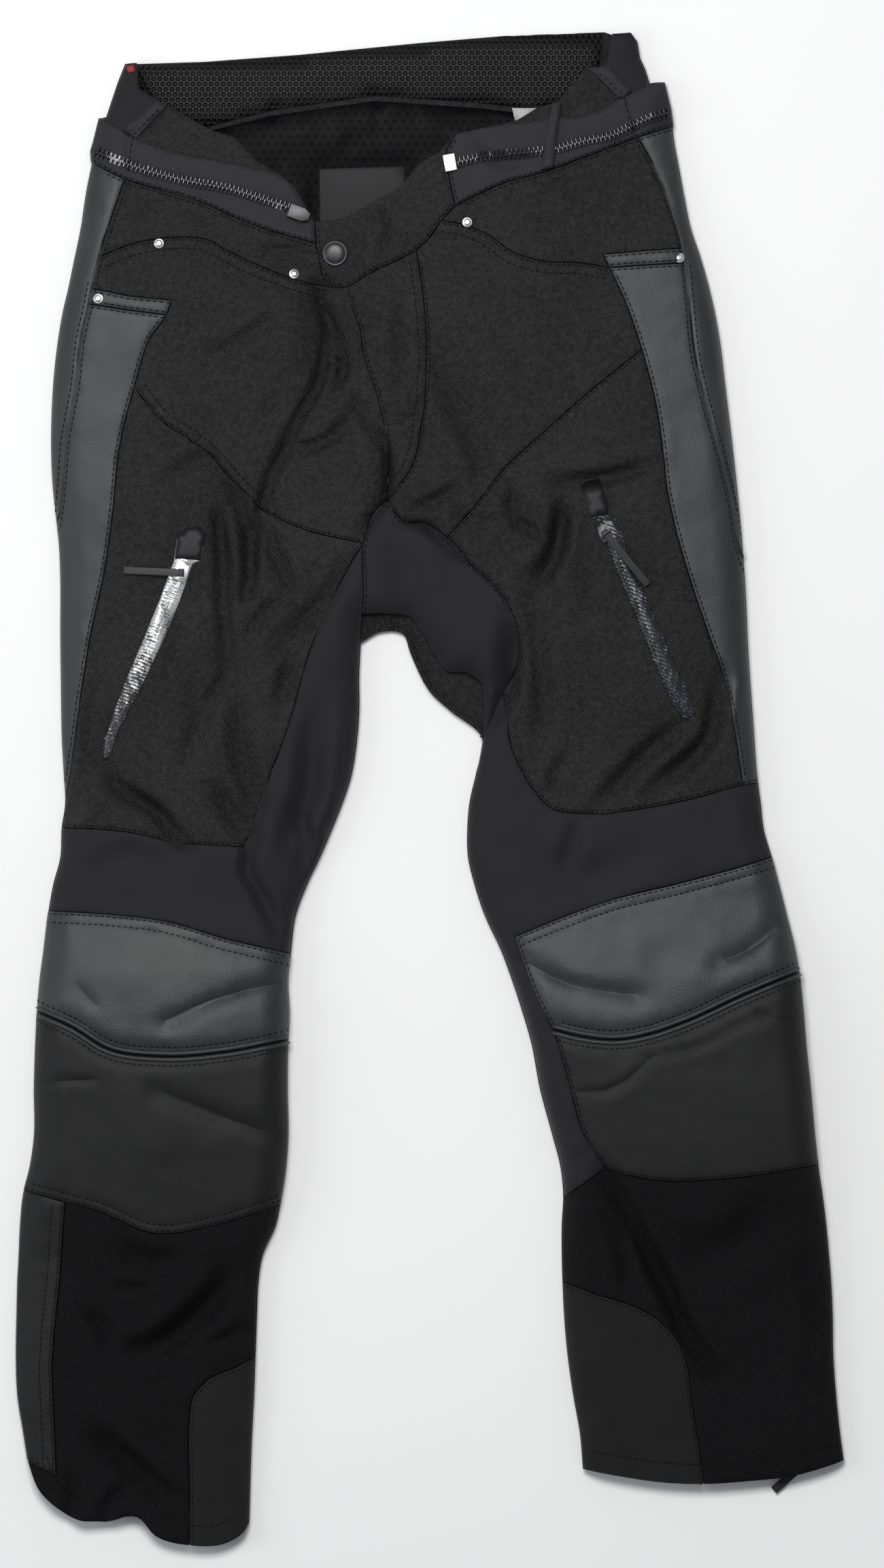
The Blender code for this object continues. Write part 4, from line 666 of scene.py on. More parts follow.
# %% Heights, panels and walls
class Surface(PlanMap):
    """The triangles given heights, from which panels and overlays are cut."""

    def lift(self, z, side_height, rim_way=1):
        """Give every point its height and its outward direction."""
        rim = Near(self.sides)(self.plan) < 0.05
        self.z = np.where(rim, side_height, z)
        points = np.column_stack([self.plan, self.z])
        a, b, c = (points[self.faces[:, k]] for k in range(3))
        flat = np.cross(b - a, c - a)
        self.normal = np.zeros_like(points)
        for k in range(3):
            np.add.at(self.normal, self.faces[:, k], flat)
        inward = self.outline_directions()
        for i in np.flatnonzero(rim):
            if i in inward:
                self.normal[i] = (-rim_way * inward[i][0], -rim_way * inward[i][1], 0)
        self.normal /= np.maximum(np.linalg.norm(self.normal, axis=1), 1e-9)[:, None]
        self.tree = BVHTree.FromPolygons(points.tolist(), self.faces.tolist())

    def outline_directions(self):
        """Mean inward direction at each point of the outer boundary."""
        inward = {}
        for (a, b), owners in self.by_edge.items():
            if len(owners) == 1:
                face = self.faces[owners[0]].tolist()
                start, end = (a, b) if (face.index(b) - face.index(a)) % 3 == 1 else (b, a)
                run = self.plan[end] - self.plan[start]
                across = np.array([-run[1], run[0]]) / np.hypot(*run)
                for i in (start, end):
                    inward[i] = inward.get(i, np.zeros(2)) + across
        return {i: v / max(np.hypot(*v), 1e-9) for i, v in inward.items()}

    def region(self, seed):
        """The triangles of one panel: everything reached from the seed without crossing a seam."""
        first = int(np.argmin(np.hypot(*(self.centres - np.array(seed)).T)))
        reached, waiting = {first}, [first]
        while waiting:
            p, q, r = self.faces[waiting.pop()].tolist()
            for s, t in ((p, q), (q, r), (r, p)):
                key = (min(s, t), max(s, t))
                if key not in self.blocked:
                    for other in self.by_edge[key]:
                        if other not in reached:
                            reached.add(other)
                            waiting.append(other)
        return sorted(reached)

    def within(self, outline):
        """The triangles covered by an overlay."""
        return [int(i) for i in np.flatnonzero(inside(np.array(outline, float), self.centres))]

    def rims(self, faces):
        """Boundary edges of some triangles, and how far each boundary point moves for the gap."""
        chosen, moves, edges = set(faces), {}, []
        for i in faces:
            p, q, r = self.faces[i].tolist()
            for a, b in ((p, q), (q, r), (r, p)):
                owners = self.by_edge[(min(a, b), max(a, b))]
                if sum(owner in chosen for owner in owners) == 1:
                    edges.append((a, b))
                    if len(owners) == 2:
                        run = self.plan[b] - self.plan[a]
                        across = np.array([-run[1], run[0]]) / np.hypot(*run)
                        for k in (a, b):
                            moves.setdefault(k, []).append(across)
        shift = {k: SEAM_GAP / 2 * sum(ways) / max(len(ways) / 2, 1) for k, ways in moves.items()}
        return edges, shift

    def sheet(self, name, faces, low, high, tuck=0.0, floor=None):
        """A closed wall over some triangles; its edge is tucked down to be round."""
        edges, shift = self.rims(faces)
        used = np.unique(self.faces[faces])
        place = np.full(len(self.plan), -1)
        place[used] = np.arange(len(used))
        base = np.column_stack([self.plan[used], self.z[used]])
        for i, way in shift.items():
            base[place[i], :2] += way
        lift = np.full(len(used), float(high))
        if tuck:
            rim = [self.plan[[a, b]] for a, b in edges]
            lift -= tuck * np.exp(-(Near(rim)(self.plan[used]) / 1.1) ** 2)
        top = base + lift[:, None] * self.normal[used]
        bottom = base + low * self.normal[used]
        if floor is not None:
            bottom[:, 2] = np.maximum(bottom[:, 2], floor(self.plan[used]))
        inner = place[self.faces[faces]]
        outer = len(used) + inner[:, ::-1]
        walls = [(place[b], place[a], len(used) + place[a], len(used) + place[b]) for a, b in edges]
        return make_mesh(name, np.vstack([top, bottom]), [*inner.tolist(), *outer.tolist(), *walls])


print("half a seam's gap is", SEAM_GAP / 2, "mm")

# %% [markdown]
# ### From points to an object
# Points in the tables' millimetres become a mesh in metres in the shared frame.

# %% Objects from points
def make_mesh(name, points, faces):
    """An object from points in millimetres in the tables' frame."""
    placed = np.array(points, float)
    placed[:, :2] += MOVED
    mesh = bpy.data.meshes.new(name)
    mesh.from_pydata((placed * MM).tolist(), [], [tuple(int(i) for i in face) for face in faces])
    mesh.update()
    made = bpy.data.objects.new(name, mesh)
    bpy.context.collection.objects.link(made)
    return made


print("tables moved by", MOVED, "mm")

# %% [markdown]
# ## Height of the cloth
# The crown, the rolled sides and the large folds are the solids' own. Creases come on top: each
# row is a trough with softer banks that fades out at both ends. Seams pull the cloth down into a
# groove and pucker it, and the whole cloth is slightly uneven.

# %% Creases
Crease = namedtuple("Crease", "height width points")
CREASES = [
    Crease(-1.6, 4, [(-156.5, 303.5), (-128, 320.5), (-105.5, 334.5)]),
    Crease(-1.4, 4, [(-188, 218), (-156.5, 232.5), (-142.5, 221)]),
    Crease(-3.0, 3.2, [(-80, 357), (-73, 329), (-77, 292), (-94.5, 257.5), (-111.5, 221), (-121, 192.5),
        (-128, 156)]),
    Crease(-3.0, 3, [(-77, 343), (-66, 320.5), (-61.5, 297.5), (-67.5, 275)]),
    Crease(-2.2, 3, [(-54.5, 281), (-43.5, 257.5), (-32, 243.5), (-29, 221), (-34.5, 198.5),
        (-48.5, 181.5)]),
    Crease(-2.6, 3.4, [(-94.5, 239.5), (-77, 243.5), (-66, 251), (-56, 262)]),
    Crease(-3.0, 4, [(-145, 221), (-137, 207), (-128, 184.5), (-125.5, 161.5)]),
    Crease(-2.4, 4, [(-149.5, 198.5), (-148, 175.5), (-142.5, 153)]),
    Crease(-1.0, 9, [(-174.5, 288.5), (-160, 269), (-136, 250)]),
    Crease(-1.2, 7, [(-97.5, 298), (-107, 269), (-121.5, 245)]),
    Crease(-2.6, 4, [(-146.5, 194.5), (-146.5, 154.5), (-145, 118), (-142.5, 78.5)]),
    Crease(-3.2, 4, [(-140, 197.5), (-131, 177), (-127, 154.5), (-131, 129)]),
    Crease(-2.5, 4, [(-119.5, 183), (-105.5, 160.5), (-94.5, 137.5)]),
    Crease(-2.0, 4, [(-128, 103.5), (-119.5, 120.5), (-105.5, 132)]),
    Crease(-1.5, 5, [(-102, 100.5), (-83, 122), (-66, 144), (-54, 165.5)]),
    Crease(-2.0, 4, [(-97, 89.5), (-102.5, 75.5), (-105.5, 58)]),
    Crease(-1.5, 6, [(-167.5, 75.5), (-162.5, 47), (-173.5, 13)]),
    Crease(-2.0, 4, [(-154, 53), (-151, 69.5), (-142.5, 78.5)]),
    Crease(-3.0, 5, [(-151, 1.5), (-140, -18), (-128, -35.5)]),
    Crease(-3.2, 4, [(-230.5, 15.5), (-224.5, 4.5), (-210.5, -7), (-193.5, -15.5), (-179.5, -32.5),
        (-170.5, -40)]),
    Crease(-1.8, 3.2, [(-210.5, 1.5), (-196, -15.5), (-182, -29.5)]),
    Crease(-1.6, 4, [(-238, 76.5), (-240, 53), (-240, 27), (-232, 18.5)]),
    Crease(-2.5, 6, [(-131, 58), (-134, 27), (-125.5, -4), (-128, -38.5)]),
    Crease(-3.0, 7, [(-80, 58), (-83, 30), (-86, -4), (-94.5, -29.5), (-94.5, -58)]),
    Crease(-2.0, 4, [(-94.5, -15), (-86, -35.5), (-91.5, -61)]),
    Crease(-2.0, 4, [(-125.5, -38.5), (-129.5, -61)]),
    Crease(-1.0, 5, [(-247.5, 38.5), (-241.5, 15.5), (-250, -10), (-259, -29.5)]),
    Crease(-1.2, 6, [(-189, 144), (-178.5, 110), (-184, 71.5)]),
    Crease(-2.5, 4, [(-132.5, -53.5), (-117, -80.5), (-105, -107)]),
    Crease(-1.2, 8, [(-247, -63.5), (-213, -50), (-179.5, -61)]),
    Crease(-1.8, 7, [(1.5, 303), (16.5, 279), (32, 249), (47, 221.5)]),
    Crease(-1.2, 4, [(-5, 279), (-10.5, 264), (-25.5, 254.5)]),
    Crease(-2.6, 3, [(-10.5, 197.5), (4.5, 203.5), (19.5, 212.5)]),
    Crease(-2.6, 3, [(-15, 188), (-1.5, 185.5), (7.5, 176.5), (25.5, 161)]),
    Crease(-1.6, 4, [(19.5, 206.5), (25.5, 191.5), (43.5, 188), (52.5, 191.5)]),
    Crease(-2.2, 3.6, [(59, 215.5), (61.5, 188), (79.5, 176.5)]),
    Crease(-3.0, 4, [(88.5, 215.5), (107, 217), (134, 221.5), (158, 229)]),
    Crease(-3.0, 5, [(95, 209.5), (91.5, 185.5), (83, 158.5), (67.5, 146.5)]),
    Crease(-1.0, 4, [(76.5, 420.5), (95, 426.5), (110, 414.5)]),
    Crease(-1.0, 8, [(56, 315), (64.5, 291), (86, 267)]),
    Crease(-1.2, 5, [(28, 250), (35, 226), (33, 201.5)]),
    Crease(-3.0, 4, [(95, 202.5), (91.5, 170), (76.5, 138)]),
    Crease(-2.2, 3, [(61.5, 187.5), (70.5, 185), (79.5, 175.5)]),
    Crease(-1.0, 6, [(113, 167), (115.5, 143), (110, 119)]),
    Crease(-2.0, 5, [(72.5, 130.5), (76.5, 94.5), (81.5, 64.5), (78, 28)]),
    Crease(-1.6, 4, [(86, -8), (91.5, 13.5), (98, 25.5)]),
    Crease(-2.6, 5, [(115.5, -17), (134, 4), (158, 28), (188, 49.5)]),
    Crease(-3.5, 5, [(158, 1), (179.5, 16), (197, 34), (203.5, 61.5), (206.5, 79.5)]),
    Crease(-3.5, 5, [(56, 121.5), (59, 94.5), (56, 70.5), (43.5, 49.5), (37.5, 37.5)]),
    Crease(-1.5, 4, [(47, 106.5), (49.5, 88.5), (43.5, 64.5)]),
    Crease(-1.0, 8, [(-29, 187.5), (-16.5, 146), (-5, 115.5)]),
    Crease(-1.2, 5, [(107, -20), (98, -50), (95, -59)]),
    Crease(-1.6, 5, [(230.5, -20), (236, -38), (241, -48.5)]),
    Crease(-1.0, 9, [(71.5, -44), (110, -63.5), (158, -39.5)]),
    Crease(-0.37, 2.2, [(-185, -166), (-159.5, -152.5), (-126.5, -142), (-103.5, -137.5)]),
    Crease(-0.23, 2.4, [(-249.5, -139), (-243, -146.5), (-236, -154)]),
    Crease(-0.3, 2.2, [(-281.5, -210), (-261.5, -206.5), (-234.5, -207.5)]),
    Crease(-0.3, 2.2, [(-191, -217), (-168.5, -225), (-138.5, -237), (-111, -243.5)]),
    Crease(-0.15, 8, [(-234.5, -215.5), (-225.5, -249), (-222.5, -285)]),
    Crease(-0.14, 9, [(-160, -232), (-178.5, -261), (-184, -294.5)]),
    Crease(-0.37, 2.4, [(66, -124), (87, -133), (114, -140.5), (147, -145)]),
    Crease(-0.37, 2.2, [(249.5, -89.5), (240.5, -101.5), (225.5, -113.5), (204.5, -124)]),
    Crease(-0.27, 9, [(147, -134), (165.5, -122), (189.5, -110)]),
    Crease(-0.34, 3.2, [(120, -188.5), (153.5, -188.5), (183, -184.5), (219.5, -167.5), (259, -149.5)]),
    Crease(-0.34, 2.4, [(156, -190), (144, -203.5), (129, -213), (106.5, -217)]),
    Crease(-0.3, 2.4, [(231.5, -160.5), (243.5, -164.5), (264.5, -167.5)]),
    Crease(-2.0, 6, [(-218.5, -322), (-197.5, -334.5), (-173.5, -334.5)]),
    Crease(-3.4, 7, [(-221.5, -401), (-200.5, -398), (-179.5, -386), (-158, -367.5), (-137.5, -343.5)]),
    Crease(-1.2, 3, [(-224.5, -352.5), (-208, -354), (-191.5, -351)]),
    Crease(-2.0, 5, [(-242.5, -367.5), (-230.5, -382.5), (-224.5, -398)]),
    Crease(-1.6, 4, [(-167.5, -391.5), (-149.5, -391.5), (-128, -379.5)]),
    Crease(-3.0, 6, [(-239.5, -452), (-218.5, -473), (-194, -494.5), (-173.5, -509)]),
    Crease(-3.0, 5, [(109.5, -260.5), (127, -278.5), (145.5, -311.5), (166.5, -350.5), (181.5, -384),
        (196.5, -405), (221, -429)]),
    Crease(-1.6, 4, [(124.5, -296.5), (136.5, -326.5), (139.5, -360)]),
    Crease(-2.0, 12, [(175.5, -323.5), (206, -326.5), (233, -308.5), (245, -287.5)]),
    Crease(-1.0, 5, [(264, -333.5), (271.5, -381.5), (266.5, -429.5)]),
    Crease(-1.4, 5, [(-259, -519), (-251.5, -502), (-254, -482.5)]),
    Crease(-1.4, 4, [(-232.5, -519), (-225, -504.5), (-213, -492.5)]),
    Crease(-1.2, 4, [(-208, 404), (-184, 414), (-155, 399.5)]),
    Crease(-1.6, 4, [(-121.5, 379), (-97.5, 379), (-78, 370.5)]),
    Crease(-1.4, 3, [(-34.5, 414), (-27.5, 394.5), (-34.5, 375)]),
    Crease(-1.2, 4, [(33, 455), (52, 442.5), (76, 445)]),
    Crease(-1.2, 5, [(-15.5, 356), (-20, 317.5), (-15.5, 279)]),
]
print(len(CREASES), "creases")

# %% [markdown]
# ### Folds and creases as heights
# A crease is a trough across its line with a bank on either side. Both fade out at its ends.

# %% Folds and creases as heights
CREASE_DEPTH = 3.4
CREASE_REACH = 4.5
FOLD_REACH = 4
BANK_HEIGHT = 0.32
BANK_AWAY = 2.1
FAR_AWAY = 1e3


def near_box(near, fold, points):
    """Distance to a fold, worked out only near it."""
    given = np.array(fold.points)
    reach = FOLD_REACH * fold.width
    close = ((points > given.min(axis=0) - reach) & (points < given.max(axis=0) + reach)).all(axis=1)
    distance = np.full(len(points), FAR_AWAY)
    distance[close] = near(points[close])
    return distance


def fold_heights(points):
    """The solids' folds and the finer creases, summed over the plan."""
    total = np.zeros(len(points))
    for fold in FOLDS:
        near = Near([line_through(fold.points)])
        total += fold.height * np.exp(-0.5 * (near_box(near, fold, points) / fold.width) ** 2)
    for crease in CREASES:
        line = line_through(crease.points, step=4)
        reach = CREASE_REACH * crease.width
        low, high = line.min(axis=0) - reach, line.max(axis=0) + reach
        close = ((points > low) & (points < high)).all(axis=1)
        side, share = along_line(line, points[close])
        s = side / crease.width
        fade = np.sin(np.pi * np.clip(share, 0.02, 0.98)) ** 0.6
        bank = BANK_HEIGHT * (np.exp(-(s - BANK_AWAY) ** 2) + np.exp(-(s + BANK_AWAY) ** 2))
        total[close] += CREASE_DEPTH * crease.height * fade * (np.exp(-0.5 * s ** 2) - bank)
    return total


print("deepest crease", CREASE_DEPTH * max(-crease.height for crease in CREASES), "mm")

# %% [markdown]
# ### The outer faces
# The crown rolls down to the sides. Noise makes the cloth uneven, seams pull it down into a groove
# and pucker it, and all of this dies away at the sides so that front and back still meet.

# %% The outer faces
WAVES = ((1.1, 46, 3.1), (0.45, 17, 8.4))
PUCKERS = ((0.5, 6.5, 5.7), (0.16, 7.5, 2.2))
PUCKER_REACH = 5.0
GROOVE_DEPTH = 0.6
GROOVE_WIDTH = 1.5
EVEN_AT_SIDE = 14
NO_GROOVE_AT_SIDE = 4


def crown_height(points, sides, crowns):
    """A crown that rolls down to the folded sides."""
    away = Near(sides)(points)
    steep = 1 - np.clip(away / ROLL, 0, 1)
    broad = 1 - DOME_SHARE * (1 - np.clip(away / DOME, 0, 1)) ** 2
    return SIDE_HEIGHT + (crowns * broad - SIDE_HEIGHT) * np.sqrt(1 - steep ** 2), away


def uneven(points, size, seed):
    """Smooth noise over the plan, from -1 to 1."""
    return np.array([noise.noise((x / size, y / size, seed)) for x, y in points])


def front_surface(points):
    """Height of the front's outer face."""
    stations = sorted(CROWNS, key=lambda crown: crown.y)
    crowns = np.interp(points[:, 1], [c.y for c in stations], [c.height for c in stations])
    z, away = crown_height(points, FRONT_SIDES, crowns + fold_heights(points))
    inner = np.clip(away / EVEN_AT_SIDE, 0, 1)
    z += inner * sum(height * uneven(points, size, seed) for height, size, seed in WAVES)
    seam = Near([*SEAM_LINES.values(), *GROOVES])(points)
    at_seam, everywhere = (height * uneven(points, size, seed) for height, size, seed in PUCKERS)
    z += inner * (np.exp(-seam / PUCKER_REACH) * at_seam + everywhere)
    groove = GROOVE_DEPTH * np.exp(-(seam / GROOVE_WIDTH) ** 2)
    return z - groove * np.clip(away / NO_GROOVE_AT_SIDE, 0, 1)


def back_surface(points):
    """Height of the back's outer face: flat on the floor, curling up at the sides."""
    steep = 1 - np.clip(Near(BACK_SIDES)(points) / BACK_CURL, 0, 1)
    return (SIDE_HEIGHT - SEAM_GAP) * (1 - np.sqrt(1 - steep ** 2))


def inner_floor(points):
    """How low the front's inner face may come: just clear of the back and of its facing."""
    return np.where(points[:, 1] > WAIST_STARTS, LOWEST_AT_WAIST, LOWEST_INSIDE)


print("height at the middle of the hips", front_surface(np.array([(0.0, 250.0)])).round(2), "mm")

# %% [markdown]
# ## Marks on the front
# A mark is the closed outline of something sewn onto the front. The front's triangles follow it,
# so that the piece can later be cut from them.

# %% Marks
tape_left = np.vstack([line_through(TAPE_LEFT_TOP, False), line_through(TAPE_LEFT_LOW)[::-1]])
tape_right = np.vstack([line_through(TAPE_RIGHT_TOP, False), line_through(TAPE_RIGHT_LOW)[::-1],
                        np.array(TAPE_RIGHT_END[::-1], float)])
on_tape = SEAM_GAP + TAPE + SEAM_GAP
GARAGES = {
    "left": [(-178.5, 177.5), (-171.5, 184.5), (-162, 184.5), (-158.5, 178.5), (-161.5, 160.5),
             (-180.5, 162)],
    "right": [(107.5, 213.5), (110.5, 216.5), (120, 218), (126, 201), (126, 193), (113, 191)],
}
CARE_TAG = [(58, 482), (77, 482), (76, 471.5), (60, 473)]
SIZE_TAG = [(-215, 511), (-209.5, 512.5), (-208.5, 507.5), (-213.5, 506)]
MARKS = {"zip_tape_left": tape_left, "zip_tape_right": tape_right}
for name, outline in (
        ("belt_loop_left", LOOP_LEFT), ("belt_loop_right", LOOP_RIGHT),
        ("zip_keeper_right", KEEPER_RIGHT), ("thigh_zip_left", THIGH_ZIP_LEFT),
        ("thigh_zip_right", THIGH_ZIP_RIGHT), *GARAGES.items(), ("size_tag", SIZE_TAG)):
    MARKS[name] = line_through(outline + outline[:1], False)
print(len(MARKS), "marks")

# %% [markdown]
# ## The two maps
# Front and back share the height of the side rim. Only the front needs a fine mesh. The back's rim
# points inwards, so that its wall stays behind the front's side.

# %% The two maps
FRONT_MESH = 4.2
BACK_MESH = 9.0
open_marks = [mark[:-1] if np.allclose(mark[0], mark[-1]) else mark for mark in MARKS.values()]
front = Surface(closed_outline(FRONT_SIDES, FRONT_MOUTH), FRONT_SIDES, list(SEAM_LINES.values()),
                open_marks, FRONT_MESH, GROOVES)
front.lift(front_surface(front.plan), SIDE_HEIGHT)
print("front:", len(front.plan), "points,", len(front.faces), "triangles")

back_marks = (FACING_OUTLINE, LINING_OUTLINE, LABEL_OUTLINE, CARE_TAG)
back = Surface(closed_outline(BACK_SIDES, BACK_MOUTH), BACK_SIDES,
               [line_through(points, smooth) for _, smooth, points in BACK_SEAMS],
               [np.array(mark, float) for mark in back_marks], BACK_MESH)
back.lift(back_surface(back.plan), SIDE_HEIGHT - SEAM_GAP, rim_way=-1)
print("back:", len(back.plan), "points,", len(back.faces), "triangles")

# %% [markdown]
# ## Cutting the panels
# Each panel gets its wall, and its edge is tucked down: less for the stiff leathers than for cloth.

# %% The panels
STIFF_TUCK = 0.3
SOFT_TUCK = 0.5
made = {}
for panel in FRONT_PANELS:
    tuck = STIFF_TUCK if panel.slot in ("leather", "suede") else SOFT_TUCK
    made[panel.name] = front.sheet(panel.name, front.region(panel.seed), panel.lift - panel.wall,
                                   panel.lift, tuck, inner_floor)
for panel in BACK_PANELS:
    made[panel.name] = back.sheet(panel.name, back.region(panel.seed), 0.0, panel.wall)
print(len(made), "panels,", sum(len(o.data.polygons) for o in made.values()), "faces")

# %% [markdown]
# ## Materials
# `Value` wraps a shader socket so that patterns read as arithmetic.

# %% Sockets with arithmetic
class Value:
    """A shader socket that takes part in arithmetic."""

    def __init__(self, look, socket):
        self.look, self.socket = look, socket

    def __add__(self, other):
        return self.look.math("ADD", self, other)

    def __sub__(self, other):
        return self.look.math("SUBTRACT", self, other)

    def __rsub__(self, other):
        return self.look.math("SUBTRACT", other, self)

    def __mul__(self, other):
        return self.look.math("MULTIPLY", self, other)

    def __truediv__(self, other):
        return self.look.math("DIVIDE", self, other)

    __radd__, __rmul__ = __add__, __mul__


print("a value takes part in + - * and /")

# %% [markdown]
# ### A material
# `Look` builds one material. Its patterns use object coordinates in metres, so a weave keeps its
# real size on every panel.

# %% A material
class Look:
    """A material being built on a Principled BSDF."""

    def __init__(self, name, **fixed):
        self.material = bpy.data.materials.new(name)
        self.material.use_nodes = True
        self.tree = self.material.node_tree
        self.shader = self.tree.nodes["Principled BSDF"]
        for key, value in fixed.items():
            self.shader.inputs[key.replace("_", " ").title().replace("Ior", "IOR")].default_value = value
        where = self.node("ShaderNodeTexCoord").outputs["Object"]
        self.where = Value(self, where)
        parts = self.node("ShaderNodeSeparateXYZ", Vector=self.where)
        self.x, self.y = Value(self, parts.outputs["X"]), Value(self, parts.outputs["Y"])

    def node(self, kind, settings=None, **inputs):
        """Add a node with its settings; inputs are numbers, colours, vectors or values."""
        made = self.tree.nodes.new(kind)
        for key, value in (settings or {}).items():
            setattr(made, key, value)
        for key, value in inputs.items():
            self.fill(made.inputs[int(key[1:]) if key[1:].isdigit() else key.replace("_", " ")], value)
        return made

    def fill(self, socket, value):
        """Link a value to a socket, or set it."""
        if isinstance(value, Value):
            self.tree.links.new(value.socket, socket)
        else:
            socket.default_value = value

    def math(self, operation, a, b=0.0):
        made = self.node("ShaderNodeMath", {"operation": operation}, i0=a, i1=b)
        return Value(self, made.outputs[0])

    def sine(self, value):
        return self.math("SINE", value)

    def limited(self, value, low, high):
        made = self.node("ShaderNodeMapRange", {"clamp": True}, Value=value, i1=low, i2=high, i3=0.0, i4=1.0)
        return Value(self, made.outputs[0])

    def noise(self, size, detail=2.0, rough=0.5, stretch=(1, 1, 1)):
        """Noise from 0 to 1 whose lumps have about this size, in metres."""
        placed = self.node("ShaderNodeVectorMath", {"operation": "MULTIPLY"}, i0=self.where, i1=stretch)
        made = self.node("ShaderNodeTexNoise", Vector=Value(self, placed.outputs[0]), Scale=1 / size,
                         Detail=detail, Roughness=rough)
        return Value(self, made.outputs["Fac"])

    def cells(self, size, feature="F1"):
        """Distance to the nearest of scattered points about this far apart, in metres."""
        made = self.node("ShaderNodeTexVoronoi", {"feature": feature}, Vector=self.where, Scale=1 / size)
        return Value(self, made.outputs["Distance"])

    def mixed(self, share, first, second):
        """A colour between two colours."""
        made = self.node("ShaderNodeMix", {"data_type": "RGBA"}, Factor=share)
        self.fill(made.inputs[6], first if isinstance(first, Value) else (*first, 1))
        self.fill(made.inputs[7], second if isinstance(second, Value) else (*second, 1))
        return Value(self, made.outputs[2])

    def put(self, name, value):
        self.fill(self.shader.inputs[name], value)
        return self

    def bump(self, height, distance, strength=1.0):
        made = self.node("ShaderNodeBump", Height=height, Distance=distance, Strength=strength)
        return self.put("Normal", Value(self, made.outputs["Normal"]))


print("patterns repeat in metres of the object's own coordinates")

# %% [markdown]
# ### Woven and knitted cloths
# Sines of the place make ribs, and noise breaks them up. Holes sit on a honeycomb lattice.

# %% Woven and knitted cloths
TURN = 2 * math.pi


def holes(look, pitch):
    """Distance from the nearest point of a honeycomb lattice, in pitches."""
    def from_lattice(move):
        u = look.x / pitch + move
        v = look.y / (pitch * math.sqrt(3)) + move
        u = look.math("FRACT", u) - 0.5
        v = (look.math("FRACT", v) - 0.5) * math.sqrt(3)
        return u * u + v * v
    return look.math("SQRT", look.math("MINIMUM", from_lattice(0.0), from_lattice(0.5)))


def textile(name, dark, light, gloss):
    """Coarse matte twill: diagonal ribs broken into threads."""
    look = Look(name, specular_ior_level=gloss)
    pitch = 0.0023
    wobble = look.noise(0.004) * 1.2
    rib = look.sine((look.x + look.y * 0.9) * (TURN / pitch) + wobble)
    thread = look.sine((look.y - look.x * 0.55) * (TURN / (0.8 * pitch)))
    weave = rib * 0.6 + thread * rib * 0.4
    # A slow mottle of lightness: partly dust, partly painted sheen.
    dust_and_sheen = look.noise(0.07, 4.0, 0.6)
    grain = look.noise(0.0032, 2.0, 0.7)
    shade = look.limited(weave * 0.30 + dust_and_sheen * 0.3 + grain * 0.8, 0.36, 0.78)
    look.put("Base Color", look.mixed(shade, dark, light))
    look.put("Roughness", 0.6 + grain * 0.2)
    return look.bump(weave * 0.6 + grain * 1.2 + look.noise(0.0006) * 0.3, 0.0008, 1.0)


def stretch():
    """Smooth stretch cloth with a fine rib, a little blue."""
    look = Look("stretch_cloth", sheen_weight=0.06, sheen_roughness=0.4, specular_ior_level=0.3)
    rib = look.sine(look.x * (TURN / 0.0008) + look.noise(0.003)) * look.sine(look.y * (TURN / 0.0009))
    # A slow mottle of lightness: partly dust, partly painted sheen.
    dust_and_sheen = look.noise(0.05, 4.0, 0.6)
    look.put("Base Color", look.mixed(look.limited(dust_and_sheen + rib * 0.08, 0.2, 0.8),
                                      (0.0058, 0.0056, 0.0074), (0.0112, 0.0108, 0.0138)))
    look.put("Roughness", 0.72 + dust_and_sheen * 0.15)
    return look.bump(rib * 0.5 + look.noise(0.0005) * 0.5, 0.00012, 0.7)


def facing():
    """Spacer mesh: rounded walls between honeycomb holes, which are painted dark as the shade inside them.
    """
    look = Look("spacer_mesh", roughness=0.5, specular_ior_level=0.2)
    away = holes(look, 0.0043)
    wall = look.limited(away, 0.17, 0.42)
    # The holes' colour is painted shade, far darker than the walls.
    look.put("Base Color", look.mixed(wall, (0.0008, 0.0008, 0.0010), (0.0085, 0.0085, 0.0095)))
    return look.bump(wall + look.noise(0.0005) * 0.12, 0.0012, 1.0)


def lining():
    """Thin lining with small round holes and a slight shine."""
    look = Look("perforated_lining", specular_ior_level=0.06)
    away = holes(look, 0.0062)
    wall = look.limited(away, 0.13, 0.2)
    dust_and_sheen = look.noise(0.02, 3.0)
    look.put("Base Color", look.mixed(wall, (0.0003, 0.0003, 0.0005), (0.0026, 0.0026, 0.0033)))
    look.put("Roughness", 0.44 + dust_and_sheen * 0.2)
    return look.bump(wall * 0.6 + look.noise(0.0006) * 0.15, 0.0005, 0.8)


print("a turn of a sine is", round(TURN, 4))

# %% [markdown]
# ### Hides, tape and thread
# Leather is pebbled and suede has a nap. Tape is ribbed across, and thread is twisted.

# %% Hides, tape and thread
def leather(name, dark, light, gloss, rough):
    """Satin leather: pebbled grain with fine pores and slow changes of shade."""
    look = Look(name, specular_ior_level=gloss)
    pebble = look.cells(0.0013, "SMOOTH_F1")
    pores = look.noise(0.0005, 3.0)
    slow = look.noise(0.06, 3.0, 0.55)
    shade = look.limited(slow * 0.8 + pebble * 0.3, 0.2, 0.9)
    look.put("Base Color", look.mixed(shade, dark, light))
    look.put("Roughness", rough + slow * 0.14 + pebble * 0.06)
    return look.bump(1.0 - pebble + pores * 0.5 + look.noise(0.009, 2.0) * 1.2, 0.00022, 0.55)


def suede():
    """Matte suede with a short nap."""
    look = Look("suede_nap", sheen_weight=0.05, sheen_roughness=0.6, specular_ior_level=0.22)
    nap = look.noise(0.0007, 4.0, 0.7)
    slow = look.noise(0.03, 4.0, 0.6)
    look.put("Base Color", look.mixed(look.limited(slow + nap * 0.4, 0.3, 1.0),
                                      (0.0036, 0.0036, 0.0042), (0.0094, 0.0094, 0.0102)))
    look.put("Roughness", 0.85 + nap * 0.12)
    return look.bump(nap + slow * 0.5, 0.0003, 0.8)


